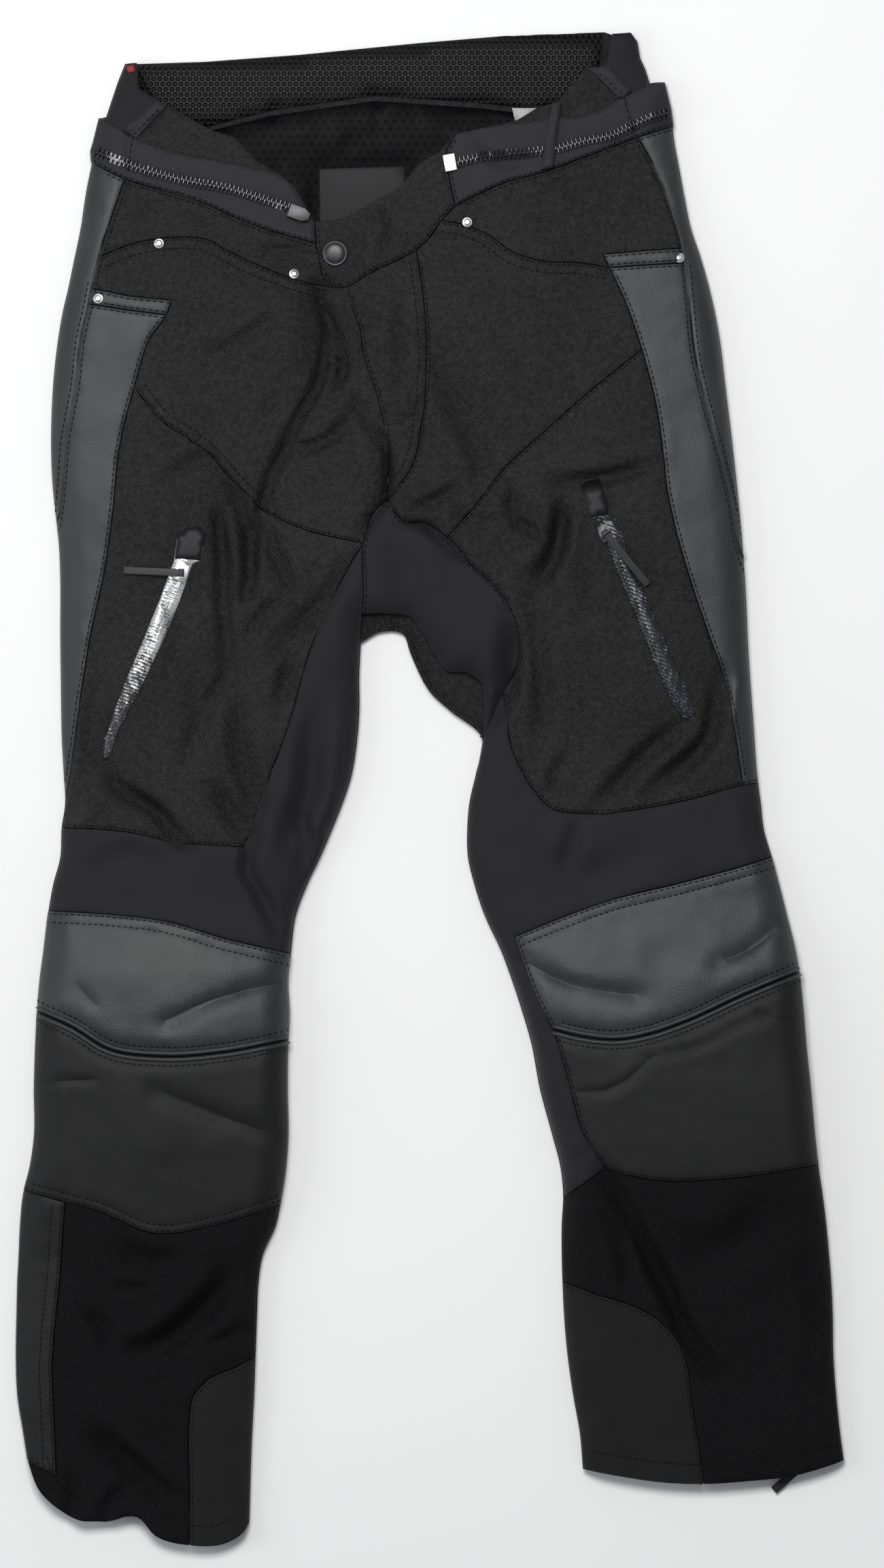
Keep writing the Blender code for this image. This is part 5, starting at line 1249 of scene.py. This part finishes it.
def webbing(name, across, shade):
    """Woven tape; across is the direction in which the ribs follow each other."""
    look = Look(name)
    run = look.x * across[0] + look.y * across[1]
    rib = look.sine(run * (TURN / 0.0011))
    fine = look.noise(0.0006, 3.0)
    low = tuple(0.6 * c for c in shade)
    look.put("Base Color", look.mixed(look.limited(rib * 0.3 + fine, 0.1, 1.0), low, shade))
    look.put("Roughness", 0.6 + fine * 0.2)
    return look.bump(rib * 0.6 + fine, 0.0002, 0.8)


def thread(name, shade):
    """Twisted sewing thread."""
    look = Look(name, roughness=0.6, specular_ior_level=0.15)
    twist = look.sine((look.x + look.y) * (TURN / 0.0007))
    low = tuple(0.6 * c for c in shade)
    look.put("Base Color", look.mixed(look.limited(twist, -1.0, 1.0), low, shade))
    return look.bump(twist, 0.00008, 0.6)


print("leather, tape and thread take their shades from the list of looks")

# %% [markdown]
# ### Metals, plastic and rubber
# Metal is scratched and dull in patches. The thigh zips' film and the teeth glint in places.

# %% Metals, plastic and rubber
def metal(name, shade, rough, grain):
    """Metal with fine scratches and dull patches."""
    look = Look(name, metallic=1.0)
    scratch = look.noise(0.0004, 3.0, 0.6, (1, 0.15, 1))
    patch = look.noise(0.004, 3.0)
    low = tuple(0.72 * c for c in shade)
    look.put("Base Color", look.mixed(look.limited(patch, 0.3, 0.75), low, shade))
    look.put("Roughness", rough + scratch * grain + patch * 0.08)
    return look.bump(scratch, 0.00004, 0.5)


def moulded(name, shade, rough, specular=0.5):
    """Moulded plastic or rubber with a fine spark-eroded texture."""
    look = Look(name, specular_ior_level=specular)
    fine = look.noise(0.0004, 3.0)
    slow = look.noise(0.006, 2.0)
    look.put("Base Color", look.mixed(slow, tuple(0.7 * c for c in shade), shade))
    look.put("Roughness", rough + fine * 0.12)
    return look.bump(fine, 0.00006, 0.7)


def film(name, dark, light, bright_above, spread):
    """Glossy laminate of a coil zip with glints, brighter above a height on the garment."""
    look = Look(name, specular_ior_level=0.6)
    streak = look.noise(0.003, 3.0, 0.65, (1.0, 0.35, 1.0))
    share = look.limited(look.y, bright_above - spread, bright_above + spread)
    coil = look.sine((look.y + look.x * 0.4) * (TURN / 0.0026))
    glint = look.limited(streak + share * 0.34 + coil * 0.10, 0.62, 0.84)
    look.put("Base Color", look.mixed(glint, dark, light))
    look.put("Metallic", glint * 0.8)
    look.put("Roughness", 0.16 + streak * 0.2)
    return look.bump(streak + coil * 0.3, 0.0003, 0.6)


def glinting(name, shade, glint_shade):
    """Moulded teeth: most are dark and a few patches catch the light."""
    look = Look(name, specular_ior_level=0.45)
    patch = look.limited(look.noise(0.024, 1.0) + look.noise(0.002, 2.0) * 0.35, 0.82, 0.94)
    look.put("Base Color", look.mixed(patch, shade, glint_shade))
    look.put("Roughness", 0.14 + look.noise(0.001) * 0.15)
    return look.bump(look.noise(0.0004, 3.0), 0.00006, 0.7)


print("metal, moulded parts, film and teeth take their shades from it too")

# %% [markdown]
# ### The list of looks
# Shades are linear, a dark one and a light one that the pattern mixes.

# %% The list of looks
LOOKS = {
    "textile": textile("textile_twill", (0.0010, 0.0010, 0.0014), (0.0280, 0.0276, 0.0290), 0.3),
    # The shin textile's colours are painted darker as shade, for the weaker light towards the hems.
    "textile_painted_shade": textile("textile_shin_painted_shade", (0.0003, 0.0003, 0.0006), (0.0062, 0.0058, 0.0072), 0.16),
    "stretch": stretch(),
    "leather": leather("leather_satin", (0.0115, 0.0123, 0.0136), (0.027, 0.029, 0.0315), 0.42, 0.44),
    # This leather is more matte, and its colours are painted darker as shade, for the lower knees' slope
    # away from the light and the flap low on the leg.
    "leather_painted_shade": leather("leather_matte_painted_shade", (0.0047, 0.0048, 0.0052), (0.0108, 0.0110, 0.0118),
                           0.24, 0.52),
    "suede": suede(),
    "facing": facing(), "lining": lining(),
    "tape": webbing("zip_tape", (0.2, 1.0), (0.008, 0.008, 0.011)),
    "loop": webbing("belt_loop", (1.0, 0.3), (0.008, 0.008, 0.010)),
    "label": webbing("satin_label", (1.0, 0.0), (0.016, 0.016, 0.018)),
    "thread": thread("thread_black", (0.003, 0.003, 0.0035)),
    "steel": metal("steel_bright", (0.80, 0.80, 0.81), 0.16, 0.18),
    "dark_metal": metal("metal_dark", (0.070, 0.070, 0.075), 0.34, 0.15),
    "teeth": glinting("zip_teeth", (0.010, 0.010, 0.012), (0.30, 0.30, 0.32)),
    "coil_silver": film("zip_film_silver", (0.030, 0.030, 0.032), (0.80, 0.80, 0.80), 0.082, 0.035),
    "coil_dark": film("zip_film_dark", (0.008, 0.009, 0.014), (0.40, 0.44, 0.55), 0.60, 0.30),
    "garage": moulded("zip_garage", (0.006, 0.006, 0.010), 0.5, 0.3),
    "rubber": moulded("pull_rubber", (0.022, 0.022, 0.024), 0.45),
    "tag_white": webbing("care_tag", (1.0, 0.0), (0.55, 0.55, 0.54)),
    "tag_red": webbing("size_tag", (1.0, 0.0), (0.35, 0.02, 0.03)),
}
print(len(LOOKS), "materials")


def dress(made, look, body="trousers"):
    """Give a piece its material and the body that it rides on."""
    made.data.materials.clear()
    made.data.materials.append(LOOKS[look].material)
    made.data.shade_smooth()
    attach(made, body)
    return made

# %% [markdown]
# ## Sheets
# A sheet is declared with the size of its cut: the box of its outline on the garment, a little
# longer where it rolls round a side. `back_of` tells which back panel lies under a place.

# %% Sheets and what they rest on
ROLLED_ACROSS = 0.6
ROLLED_ALONG = 0.2
CUT_ALLOWANCE = 1.02
LEAST_SHARE = 0.301
back_of = {face: panel.name for panel in BACK_PANELS for face in back.region(panel.seed)}


def cut_size(made):
    """Width and length of the cut, and its area, in metres, from the panel's outer face."""
    count = len(made.data.vertices)
    co = np.empty(count * 3)
    made.data.vertices.foreach_get("co", co)
    co = co.reshape(-1, 3)
    span = co.max(axis=0) - co.min(axis=0)
    made.data.calc_loop_triangles()
    outer = sum(t.area for t in made.data.loop_triangles) / 2
    width, length = span[0] + ROLLED_ACROSS * span[2], span[1] + ROLLED_ALONG * span[2]
    share = outer / (width * length)
    grown = max(1.0, share) * CUT_ALLOWANCE
    return width, length * grown, outer


def declare(made):
    """Declare a sheet; a narrow slanting piece is given the least share of its box there can be."""
    width, length, area = cut_size(made)
    area = min(max(area, LEAST_SHARE * width * length), width * length)
    return f"{made.name} {1000 * width:.0f} x {1000 * length:.0f} mm, {1e4 * area:.0f} cm2"


print(len(back_of), "triangles of the back belong to its panels")

# %% [markdown]
# ## Panels dressed and declared
# Each panel replaces its solid and takes its cloth. The shins, the lower knees and the flap take
# looks with painted shade: colours darkened for the weaker light on them.

# %% Dress the panels
# Panels whose colour is painted darker as shade.
PAINTED_SHADE_LOOKS = {"shin_left": "textile_painted_shade", "shin_right": "textile_painted_shade", "zip_flap_left": "leather_painted_shade",
          "knee_lower_left": "leather_painted_shade", "knee_lower_right": "leather_painted_shade"}
for panel in (*FRONT_PANELS, *BACK_PANELS):
    piece = dress(made[panel.name], PAINTED_SHADE_LOOKS.get(panel.name, panel.slot))
    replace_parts(piece, panel.name)
    print(declare(piece))

# %% [markdown]
# ## Tapes, loops and thigh zips
# Everything sewn onto the front is cut from the front's own points and moved out.

# %% Overlays
OVERLAYS = [
    ("zip_tape_left", SEAM_GAP, TAPE, "tape", "webbing"),
    ("zip_tape_right", SEAM_GAP, TAPE, "tape", "webbing"),
    ("belt_loop_left", on_tape, STRAP, "loop", "webbing"),
    ("belt_loop_right", on_tape, STRAP, "loop", "webbing"),
    ("zip_keeper_right", on_tape + CHAIN + SEAM_GAP, STRAP, "loop", "webbing"),
    ("thigh_zip_left", SEAM_GAP, 1.0, "coil_silver", "steel"),
    ("thigh_zip_right", SEAM_GAP, 1.0, "coil_dark", "zip_plastic"),
]
for name, low, wall, look, slot in OVERLAYS:
    piece = front.sheet(name + "_cloth", front.within(MARKS[name]), low, low + wall, 0.5 * wall)
    made[name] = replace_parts(dress(piece, look), name)
print(len(OVERLAYS), "pieces on the front")

# %% [markdown]
# ## Inside of the waist
# Facing, lining and label are cut from the back. The lining lies in soft lumps, and flat under
# the label. Two small tags stick out at the waist.

# %% Inside of the waist
on_back = TEXTILE + SEAM_GAP
flat_z = back.z.copy()
LABEL_PLACE = np.array(LABEL_OUTLINE, float)
off_label = Near([np.vstack([LABEL_PLACE, LABEL_PLACE[:1]])])(back.plan)


def puffed(outline, height, size, seed):
    """Raise the back's surface inside an outline in soft lumps."""
    edge = Near([np.vstack([outline, outline[:1]])])(back.plan)
    within = inside(np.array(outline, float), back.plan) * np.clip(edge / 12, 0, 1)
    within *= np.where(inside(LABEL_PLACE, back.plan), 0.0, np.clip(off_label / 14, 0, 1))
    lumps = np.abs(uneven(back.plan, size, seed)) + 0.4 * uneven(back.plan, size / 2.3, seed + 4)
    back.z = flat_z + height * within * (1 - np.clip(1.6 * np.abs(lumps), 0, 1))


lying = [("waist_facing", FACING_OUTLINE, on_back, FACING, "facing", "mesh", 1.0, 30, 1.0),
         ("lining", LINING_OUTLINE, on_back, LINING, "lining", "mesh", 4.2, 22, 6.0),
         ("label", LABEL_OUTLINE, on_back + LINING + SEAM_GAP, LABEL, "label", "webbing", 0.0, 40, 2.0)]
for name, outline, low, wall, look, slot, height, size, seed in lying:
    puffed(np.array(outline, float), height, size, seed)
    piece = back.sheet(name + "_cloth", back.within(outline), low, low + wall, 0.4 * wall)
    made[name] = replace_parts(dress(piece, look), name)
    print(declare(piece))
back.z = flat_z
TAGS = [("care_tag", back, CARE_TAG, on_back + FACING + 2.0, "tag_white"),
        ("size_tag", front, SIZE_TAG, SEAM_GAP, "tag_red")]
for name, surface, outline, low, look in TAGS:
    tag = surface.sheet(name, surface.within(outline), low, low + LABEL, 0.1)
    made[name] = dress(tag, look)
print(len(lying), "pieces on the back and", len(TAGS), "tags")

# %% [markdown]
# ## The dressed surface
# Stitches, cords and zip teeth are laid on what is already there, found by looking straight down.

# %% What lies on top
FROM_ABOVE = 300
LEAST_LEVEL = 0.12


class Top:
    """The uppermost surface of several pieces."""

    def __init__(self, pieces):
        points, faces = [], []
        for piece in pieces:
            start = len(points)
            points.extend((v.co / MM - Vector((*MOVED, 0))) for v in piece.data.vertices)
            faces.extend([start + i for i in p.vertices] for p in piece.data.polygons)
        self.tree = BVHTree.FromPolygons(points, faces)

    def at(self, x, y):
        spot, way = self.tree.ray_cast(Vector((x, y, FROM_ABOVE)), Vector((0, 0, -1)))[:2]
        if spot is None or way.z < LEAST_LEVEL:
            return None
        return np.array(spot), np.array(way)

    def frames(self, points, ways, lift, inset=0.0):
        """A frame at each point that is met: its centre, and the ways along, across and out."""
        found = []
        for (x, y), way in zip(points, ways):
            hit = self.at(x, y)
            if hit is not None:
                spot, up = hit
                along = np.array([*way, 0.0])
                along -= along @ up * up
                along /= np.linalg.norm(along)
                across = np.cross(up, along)
                found.append((spot - inset * across + lift * up, along, across, up))
        return found


top = Top(made.values())
print("the middle of the left knee is at", top.at(-189, -140)[0].round(1), "mm")

# %% [markdown]
# ### Copies and tubes
# A small template is copied to every frame, all in one mesh. Rings joined one to the next make
# the stitches, the ribs, the cords and the turned metal.

# %% Copies and tubes
def even_points(line, pitch, start=0.0, end=1.0):
    """Points along a line at an even pitch, with the direction at each."""
    runs = np.hypot(*np.diff(line, axis=0).T)
    along = np.concatenate([[0], np.cumsum(runs)])
    count = max(2, int((end - start) * along[-1] / pitch))
    where = np.linspace(start * along[-1], end * along[-1], count)
    points = np.column_stack([np.interp(where, along, line[:, k]) for k in (0, 1)])
    ways = np.gradient(points, axis=0)
    return points, ways / np.hypot(*ways.T)[:, None]


def tube_faces(rings, sides):
    """Faces of a closed tube of rings."""
    faces = [(i * sides + k, (i + 1) * sides + k, (i + 1) * sides + (k + 1) % sides,
              i * sides + (k + 1) % sides) for i in range(rings - 1) for k in range(sides)]
    faces.append(tuple(range(sides)))
    faces.append(tuple((rings - 1) * sides + k for k in reversed(range(sides))))
    return faces


def copies(name, template, faces, frames):
    """One mesh of many copies of a template, each placed by a frame."""
    points = [centre + template @ np.array([along, side, up])
              for centre, along, side, up in frames]
    all_faces = [[k * len(template) + i for i in face] for k in range(len(frames)) for face in faces]
    return make_mesh(name, np.vstack(points), all_faces)


def rings_template(stations, sides):
    """Rings along the first axis: rows of (along, half width, half height)."""
    turns = [math.tau * k / sides for k in range(sides)]
    points = [(along, wide * math.cos(turn), high * math.sin(turn))
              for along, wide, high in stations for turn in turns]
    return np.array(points), tube_faces(len(stations), sides)


print("a tube of 4 rings of 5 points has", len(tube_faces(4, 5)), "faces")

# %% [markdown]
# ## Sewing
# A row names a seam, how far beside it the stitches run, and which stretch of the seam they follow.

# %% Rows of stitches
Row = namedtuple("Row", "seam away start end")
ROWS = [
    Row("knee_left_top", -2.0, 0.02, 0.99), Row("knee_left_top", -8.0, 0.02, 0.99),
    Row("knee_left_mid", 6.5, 0.03, 0.99), Row("knee_left_mid", -6.5, 0.03, 0.99),
    Row("knee_left_low", 6.0, 0.03, 0.98), Row("knee_left_low", 1.8, 0.03, 0.98),
    Row("knee_right_top", -2.0, 0.02, 0.99), Row("knee_right_top", -7.5, 0.02, 0.99),
    Row("knee_right_mid", 6.5, 0.03, 0.99), Row("knee_right_mid", -6.5, 0.03, 0.99),
    Row("knee_right_low", 2.0, 0.03, 0.98), Row("knee_right_side", 2.0, 0.02, 0.98),
    Row("leather_left", -2.2, 0.05, 0.98), Row("leather_right", 2.2, 0.05, 0.98),
    Row("band_left_top", -2.2, 0.06, 0.96), Row("band_left_low", 2.0, 0.06, 0.96),
    Row("band_left_low", -2.2, 0.06, 0.96),
    Row("band_right_top", -2.2, 0.04, 0.96), Row("band_right_pocket", 2.0, 0.04, 0.96),
    Row("band_right_pocket", -2.2, 0.04, 0.96),
    Row("pocket_left", -2.0, 0.02, 0.98), Row("pocket_left", -8.0, 0.02, 0.98),
    Row("pocket_right", -2.0, 0.02, 0.98), Row("pocket_right", -8.0, 0.02, 0.98),
    Row("diagonal_left", 1.8, 0.02, 0.98), Row("diagonal_left", 7.0, 0.02, 0.6),
    Row("diagonal_right", 1.8, 0.02, 0.98), Row("fly_stitch", 1.8, 0.05, 0.95),
    Row("fly_stitch", -6.0, 0.05, 0.95), Row("fly_edge", 2.2, 0.05, 0.98),
    Row("band_right_low", 2.0, 0.02, 0.98), Row("tab_left", 2.4, 0.1, 0.9),
    Row("gusset_top", 1.8, 0.02, 0.5), Row("gusset_top", -1.8, 0.02, 0.5),
    Row("crotch_left", 2.0, 0.05, 0.95), Row("stretch_left_low", 2.0, 0.02, 0.98),
    Row("stretch_right", 2.0, 0.2, 0.98), Row("flap_left", -2.2, 0.02, 0.98),
    Row("flap_left", -9.0, 0.02, 0.98), Row("flap_left_low", 2.2, 0.05, 0.95),
    Row("guard_left", 2.0, 0.02, 0.92), Row("guard_right", -2.0, 0.02, 0.95),
    Row("zip_left_low", -2.4, 0.12, 0.98), Row("zip_right_low", -2.4, 0.05, 0.95),
    Row("elastic_left", 2.2, 0.1, 0.9), Row("elastic_right", -2.2, 0.1, 0.9),
    Row("zip_right_end", 2.2, 0.1, 0.9), Row("piping_left", 3.0, 0.02, 0.98),
    Row("piping_right", -3.0, 0.02, 0.98), Row("piping_left", -3.0, 0.3, 0.98),
    Row("piping_right", 3.0, 0.3, 0.98), Row("calf_right", 2.0, 0.1, 0.9),
]
print(len(ROWS), "rows beside", len({row.seam for row in ROWS}), "seams")

# %% [markdown]
# ### Stitches laid along the rows
# A stitch is a small spindle, half sunk in the cloth. The hems, the lower edges of the waist zip's
# tapes and one seam of the lining are sewn too.

# %% Stitches
STITCH_PITCH = 4.1
STITCH_LIFT = 0.08
HEM_DEPTH = 14.0
TAPE_EDGE = 1.4
stitch, stitch_faces = rings_template([(-1.5, 0.2, 0.14), (-0.9, 0.46, 0.36), (0.9, 0.46, 0.36),
                                       (1.5, 0.2, 0.14)], 5)


def sewn(name, lines):
    """Stitches along lines on the dressed surface."""
    frames = []
    for line, start, end in lines:
        frames += top.frames(*even_points(line, STITCH_PITCH, start, end), STITCH_LIFT)
    made[name] = dress(copies(name, stitch, stitch_faces, frames), "thread")
    print(name, len(frames), "stitches")


hem_rows = [(beside(hem, HEM_DEPTH), 0.03, 0.97) for hem in HEMS]
tape_rows = [(beside(line_through(low), TAPE_EDGE), 0.02, 0.98) for low in (TAPE_LEFT_LOW, TAPE_RIGHT_LOW)]
half = len(ROWS) // 2
for name, rows in (("stitches_a", ROWS[:half]), ("stitches_b", ROWS[half:])):
    sewn(name, [(beside(SEAM_LINES[row.seam], row.away), row.start, row.end) for row in rows])
lining_seam = [(line_through([(-38, 484), (-41, 462), (-40, 446)]), 0.0, 1.0)]
sewn("stitches_hem", hem_rows + tape_rows + lining_seam)

# %% [markdown]
# ## Cords
# The side leather is piped, and two cords cross each knee. Between the legs the end of the seat
# seam and small gathers show on the back.

# %% Piping
CORD_PITCH = 2.5
CORD_SINK = 0.35
CORD_SIDES = 8


def cord(name, line, radius, look):
    """A cord partly sunk in the surface along a line."""
    points, ways = even_points(line, CORD_PITCH)
    angles = np.arange(CORD_SIDES) * math.tau / CORD_SIDES
    rings = []
    for (x, y), way in zip(points, ways):
        hit = top.at(x, y)
        if hit is None:
            continue
        spot, up = hit
        along = np.array([*way, 0.0])
        side = np.cross(up, along)
        side /= np.linalg.norm(side)
        middle = spot + (1 - 2 * CORD_SINK) * radius * up
        round_it = np.outer(np.cos(angles), side) + np.outer(np.sin(angles), up)
        rings.append(middle + radius * round_it)
    faces = tube_faces(len(rings), CORD_SIDES)
    made[name] = dress(make_mesh(name, np.vstack(rings), faces), look)
    print(name, round((len(rings) - 1) * CORD_PITCH), "mm")


for side in ("left", "right"):
    cord(f"piping_cord_{side}", SEAM_LINES[f"piping_{side}"], 1.1, "leather")
for side in ("left", "right"):
    for k, away in enumerate((2.4, -2.4)):
        cord(f"knee_cord_{side}_{k}", beside(SEAM_LINES[f"knee_{side}_mid"], away), 1.5, "leather")
for k, x in enumerate((-28.7, -26.3)):
    cord(f"seat_seam_end_{k}", np.array([(x, 122.0), (x, 109.0)]), 1.3, "textile")
for k, x in enumerate((-44.5, -40, -36, -32, -23, -19)):
    cord(f"crotch_gather_{k}", np.array([(x, 121.0), (x + 0.6, 111.8)]), 0.6, "textile")

# %% [markdown]
# ## Waist zip
# The waist zip has moulded teeth that alternate across the middle of the tape: an outline of
# eight points, at the foot, the shoulder and the top of a tooth.

# %% Zip teeth
TOOTH_PITCH = 3.0
TOOTH_INSET = 1.35
ON_TAPE = 0.1
tooth = np.array([(x, y, z) for z, s in ((0.0, 1.0), (1.5, 1.0), (2.2, 0.62))
                  for x, y in ((-0.95 * s, -2.3), (0.95 * s, -2.3), (0.75 * s, 0.4), (1.15 * s, 1.2),
                               (0.9 * s, 2.3 * (0.8 + 0.2 * s)), (-0.9 * s, 2.3 * (0.8 + 0.2 * s)),
                               (-1.15 * s, 1.2), (-0.75 * s, 0.4))])
tooth_faces = [tuple(range(8))[::-1], tuple(16 + k for k in range(8))]
tooth_faces += [(8 * i + k, 8 * i + (k + 1) % 8, 8 * i + 8 + (k + 1) % 8, 8 * i + 8 + k)
                for i in (0, 1) for k in range(8)]
tapes = Top([made[f"{kind}_{side}"] for kind in ("zip_tape", "thigh_zip") for side in ("left", "right")])


def teeth(name, centre):
    """Teeth from both sides of the chain, one between two of the other side."""
    frames = []
    for sign, start in ((1, 0.0), (-1, 0.5)):
        points, ways = even_points(line_through(centre), TOOTH_PITCH)
        frames += tapes.frames(points + start * TOOTH_PITCH * ways, ways * sign, ON_TAPE, TOOTH_INSET)
    piece = copies(name + "_moulded", tooth, tooth_faces, frames)
    bevel = piece.modifiers.new("round", "BEVEL")
    bevel.width, bevel.segments, bevel.limit_method = 0.00022, 2, "ANGLE"
    made[name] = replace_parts(dress(piece, "teeth"), name)
    print(name, len(frames), "teeth")


teeth("zip_teeth_left", CHAIN_LEFT)
teeth("zip_teeth_right", CHAIN_RIGHT)

# %% [markdown]
# ## Thigh zips
# The thigh zips are laminated coils, shown as short ribs across a middle line, with a rubberised
# garage over the slider's end.

# %% Thigh zips: coil ribs and garages
RIB_PITCH = 1.5
THIGH_MIDDLE = {
    "left": [(-175.5, 152), (-184, 130.5), (-195.5, 103), (-208, 74), (-219, 52.5), (-227.5, 26)],
    "right": [(124, 180), (131.5, 162), (141, 138), (153.5, 107.5), (165.5, 81), (181, 54.5)],
}


def ribs(name, side, look):
    """The coil of a laminated zip: short ribs across its middle line."""
    template, faces = rings_template([(-2.6, 0.42, 0.3), (-1.9, 0.55, 0.55), (-0.35, 0.55, 0.6),
                                      (0.0, 0.55, 0.35), (0.35, 0.55, 0.6), (1.9, 0.55, 0.55),
                                      (2.6, 0.42, 0.3)], 6)
    points, ways = even_points(line_through(THIGH_MIDDLE[side]), RIB_PITCH)
    frames = tapes.frames(points, np.column_stack([-ways[:, 1], ways[:, 0]]), ON_TAPE)
    made[name] = dress(copies(name, template, faces, frames), look)
    print(name, len(frames), "ribs")


ribs("thigh_coil_left", "left", "coil_silver")
ribs("thigh_coil_right", "right", "coil_dark")
for side, outline in GARAGES.items():
    name = f"zip_garage_{side}"
    piece = front.sheet(name, front.within(outline), SEAM_GAP + 1.1, SEAM_GAP + 1.9, 0.4)
    made[name] = dress(piece, "garage")

# %% [markdown]
# ## Sliders, end box, pulls and hem tab
# These keep their solids' shapes, with rounded edges. The pulls ride on their own bodies.

# %% Rounded copies of the small solids
def rounded(node, look, width, body="trousers"):
    """A copy of a solid with rounded edges."""
    source = frame["nodes"][node]
    mesh = source.data.copy()
    bm = bmesh.new()
    bm.from_mesh(mesh)
    bmesh.ops.remove_doubles(bm, verts=bm.verts, dist=1e-6)
    bmesh.ops.dissolve_limit(bm, angle_limit=math.radians(3), verts=bm.verts, edges=bm.edges)
    bm.to_mesh(mesh)
    bm.free()
    piece = bpy.data.objects.new(node + "_round", mesh)
    bpy.context.collection.objects.link(piece)
    bevel = piece.modifiers.new("round", "BEVEL")
    bevel.width, bevel.segments, bevel.limit_method = width * MM, 3, "ANGLE"
    bevel.angle_limit = math.radians(30)
    made[node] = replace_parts(dress(piece, look, body), node)


for node, look, slot, width in (
        ("slider_left", "steel", "steel", 0.35), ("slider_right", "dark_metal", "dark_metal", 0.35),
        ("waist_zip_slider", "dark_metal", "dark_metal", 0.6), ("zip_end_box", "steel", "steel", 0.4),
        ("hem_tab", "loop", "webbing", 0.5)):
    rounded(node, look, width)
rounded("pull_left", "rubber", 0.6, "pull_tab_left")
rounded("pull_right", "rubber", 0.6, "pull_tab_right")
print(len(made), "pieces so far")

# %% [markdown]
# ## Rivets and snap
# These are turned from profiles, rows of radius and height as shares of the solid's own.

# %% Rivets and snap
def turned(node, profile, look, sides=48):
    """Turn a profile of (radius, height) shares about the axis of a round solid."""
    co = np.array([v.co for v in frame["nodes"][node].data.vertices])
    middle = co.mean(axis=0)
    up = np.linalg.svd(co - middle)[2][2]
    up *= math.copysign(1, up[2])
    heights = (co - middle) @ up
    base, tall = middle + heights.min() * up, np.ptp(heights)
    radius = np.linalg.norm(co - middle - np.outer(heights, up), axis=1).max()
    side = np.cross(up, (0, 1.0, 0.01))
    side /= np.linalg.norm(side)
    other = np.cross(up, side)
    angles = np.arange(sides) * math.tau / sides
    circle = np.outer(np.cos(angles), side) + np.outer(np.sin(angles), other)
    rings = [base + tall * h * up + radius * r * circle for r, h in profile]
    faces = [face[::-1] for face in tube_faces(len(rings), sides)]
    points = np.vstack(rings) / MM
    points[:, :2] -= MOVED
    piece = make_mesh(node + "_turned", points, faces)
    dress(piece, look)
    piece.data.set_sharp_from_angle(angle=math.radians(50))
    made[node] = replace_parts(piece, node)


RIVET = [(0.96, 0.0), (1.0, 0.12), (0.97, 0.3), (0.86, 0.42), (0.7, 0.42), (0.64, 0.5), (0.58, 0.78),
         (0.44, 0.95), (0.25, 1.0), (0.12, 0.97)]
SNAP = [(0.95, 0.0), (1.0, 0.2), (1.0, 0.45), (0.965, 0.6), (0.9, 0.66), (0.84, 0.62), (0.8, 0.56),
        (0.76, 0.62), (0.7, 0.76), (0.5, 0.9), (0.25, 0.98), (0.08, 1.0)]
for k in range(1, 6):
    turned(f"rivet_{k}", RIVET, "steel")
turned("snap_button", SNAP, "dark_metal")
print(len(made), "pieces so far")

# %% [markdown]
# ## Floor
# A pale floor of matte paper, slightly uneven in shade.

# %% Floor
HALF_FLOOR = 3.0
floor_mesh = bpy.data.meshes.new("floor")
floor_corners = [(x * HALF_FLOOR, y * HALF_FLOOR, 0.0) for x, y in ((-1, -1), (1, -1), (1, 1), (-1, 1))]
floor_mesh.from_pydata(floor_corners, [], [(0, 1, 2, 3)])
floor = bpy.data.objects.new("floor", floor_mesh)
bpy.context.collection.objects.link(floor)
paper = Look("floor_paper", roughness=0.9)
soft = paper.noise(0.5, 3.0)
paper.put("Base Color", paper.mixed(soft, (0.80, 0.80, 0.80), (0.83, 0.83, 0.825)))
floor.data.materials.append(paper.material)
print("floor", 2 * HALF_FLOOR, "m square")

# %% [markdown]
# ## Light
# A broad soft light from above the waist and a weaker one from the left, so that shadows fall
# softly to the right of the legs. The Standard transform keeps the floor near white and the cloth
# near black at once.

# %% Lights
def area_light(name, where, size, power, colour):
    """A rectangular light aimed at the middle of the garment."""
    lamp = bpy.data.lights.new(name, "AREA")
    lamp.shape, lamp.size, lamp.size_y = "RECTANGLE", *size
    lamp.energy, lamp.color = power, colour
    holder = bpy.data.objects.new(name, lamp)
    holder.location = where
    holder.rotation_euler = (-Vector(where)).to_track_quat("-Z", "Y").to_euler()
    bpy.context.collection.objects.link(holder)
    print(name, "light,", power, "W")


area_light("ceiling", (-0.27, 0.9, 2.5), (1.1, 0.9), 60, (1.0, 0.995, 0.985))
area_light("window", (-2.6, -0.2, 1.4), (1.0, 1.6), 19, (0.96, 0.98, 1.0))
world = bpy.data.worlds.new("room")
bpy.context.scene.world = world
world.use_nodes = True
world.node_tree.nodes["Background"].inputs["Color"].default_value = (0.93, 0.95, 1.0, 1)
world.node_tree.nodes["Background"].inputs["Strength"].default_value = 0.30
bpy.context.scene.view_settings.view_transform = "Standard"

# %% [markdown]
# ## Camera
# A long lens straight above the middle of the photo.

# %% Camera
camera = bpy.data.objects.new("camera", bpy.data.cameras.new("camera"))
camera.data.lens, camera.data.sensor_width = 200.0, 36.0
camera.location = (0.0088, 0.0029, 6.18)
camera.data.clip_start, camera.data.clip_end = 0.5, 20.0
bpy.context.collection.objects.link(camera)
bpy.context.scene.camera = camera
print("camera", camera.location[2], "m above the floor")

# %% Sizes and the end
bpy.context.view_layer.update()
triangles = {o.name: sum(len(p.vertices) - 2 for p in o.data.polygons) for o in made.values()}
print(sum(triangles.values()), "triangles, most in", max(triangles, key=triangles.get))
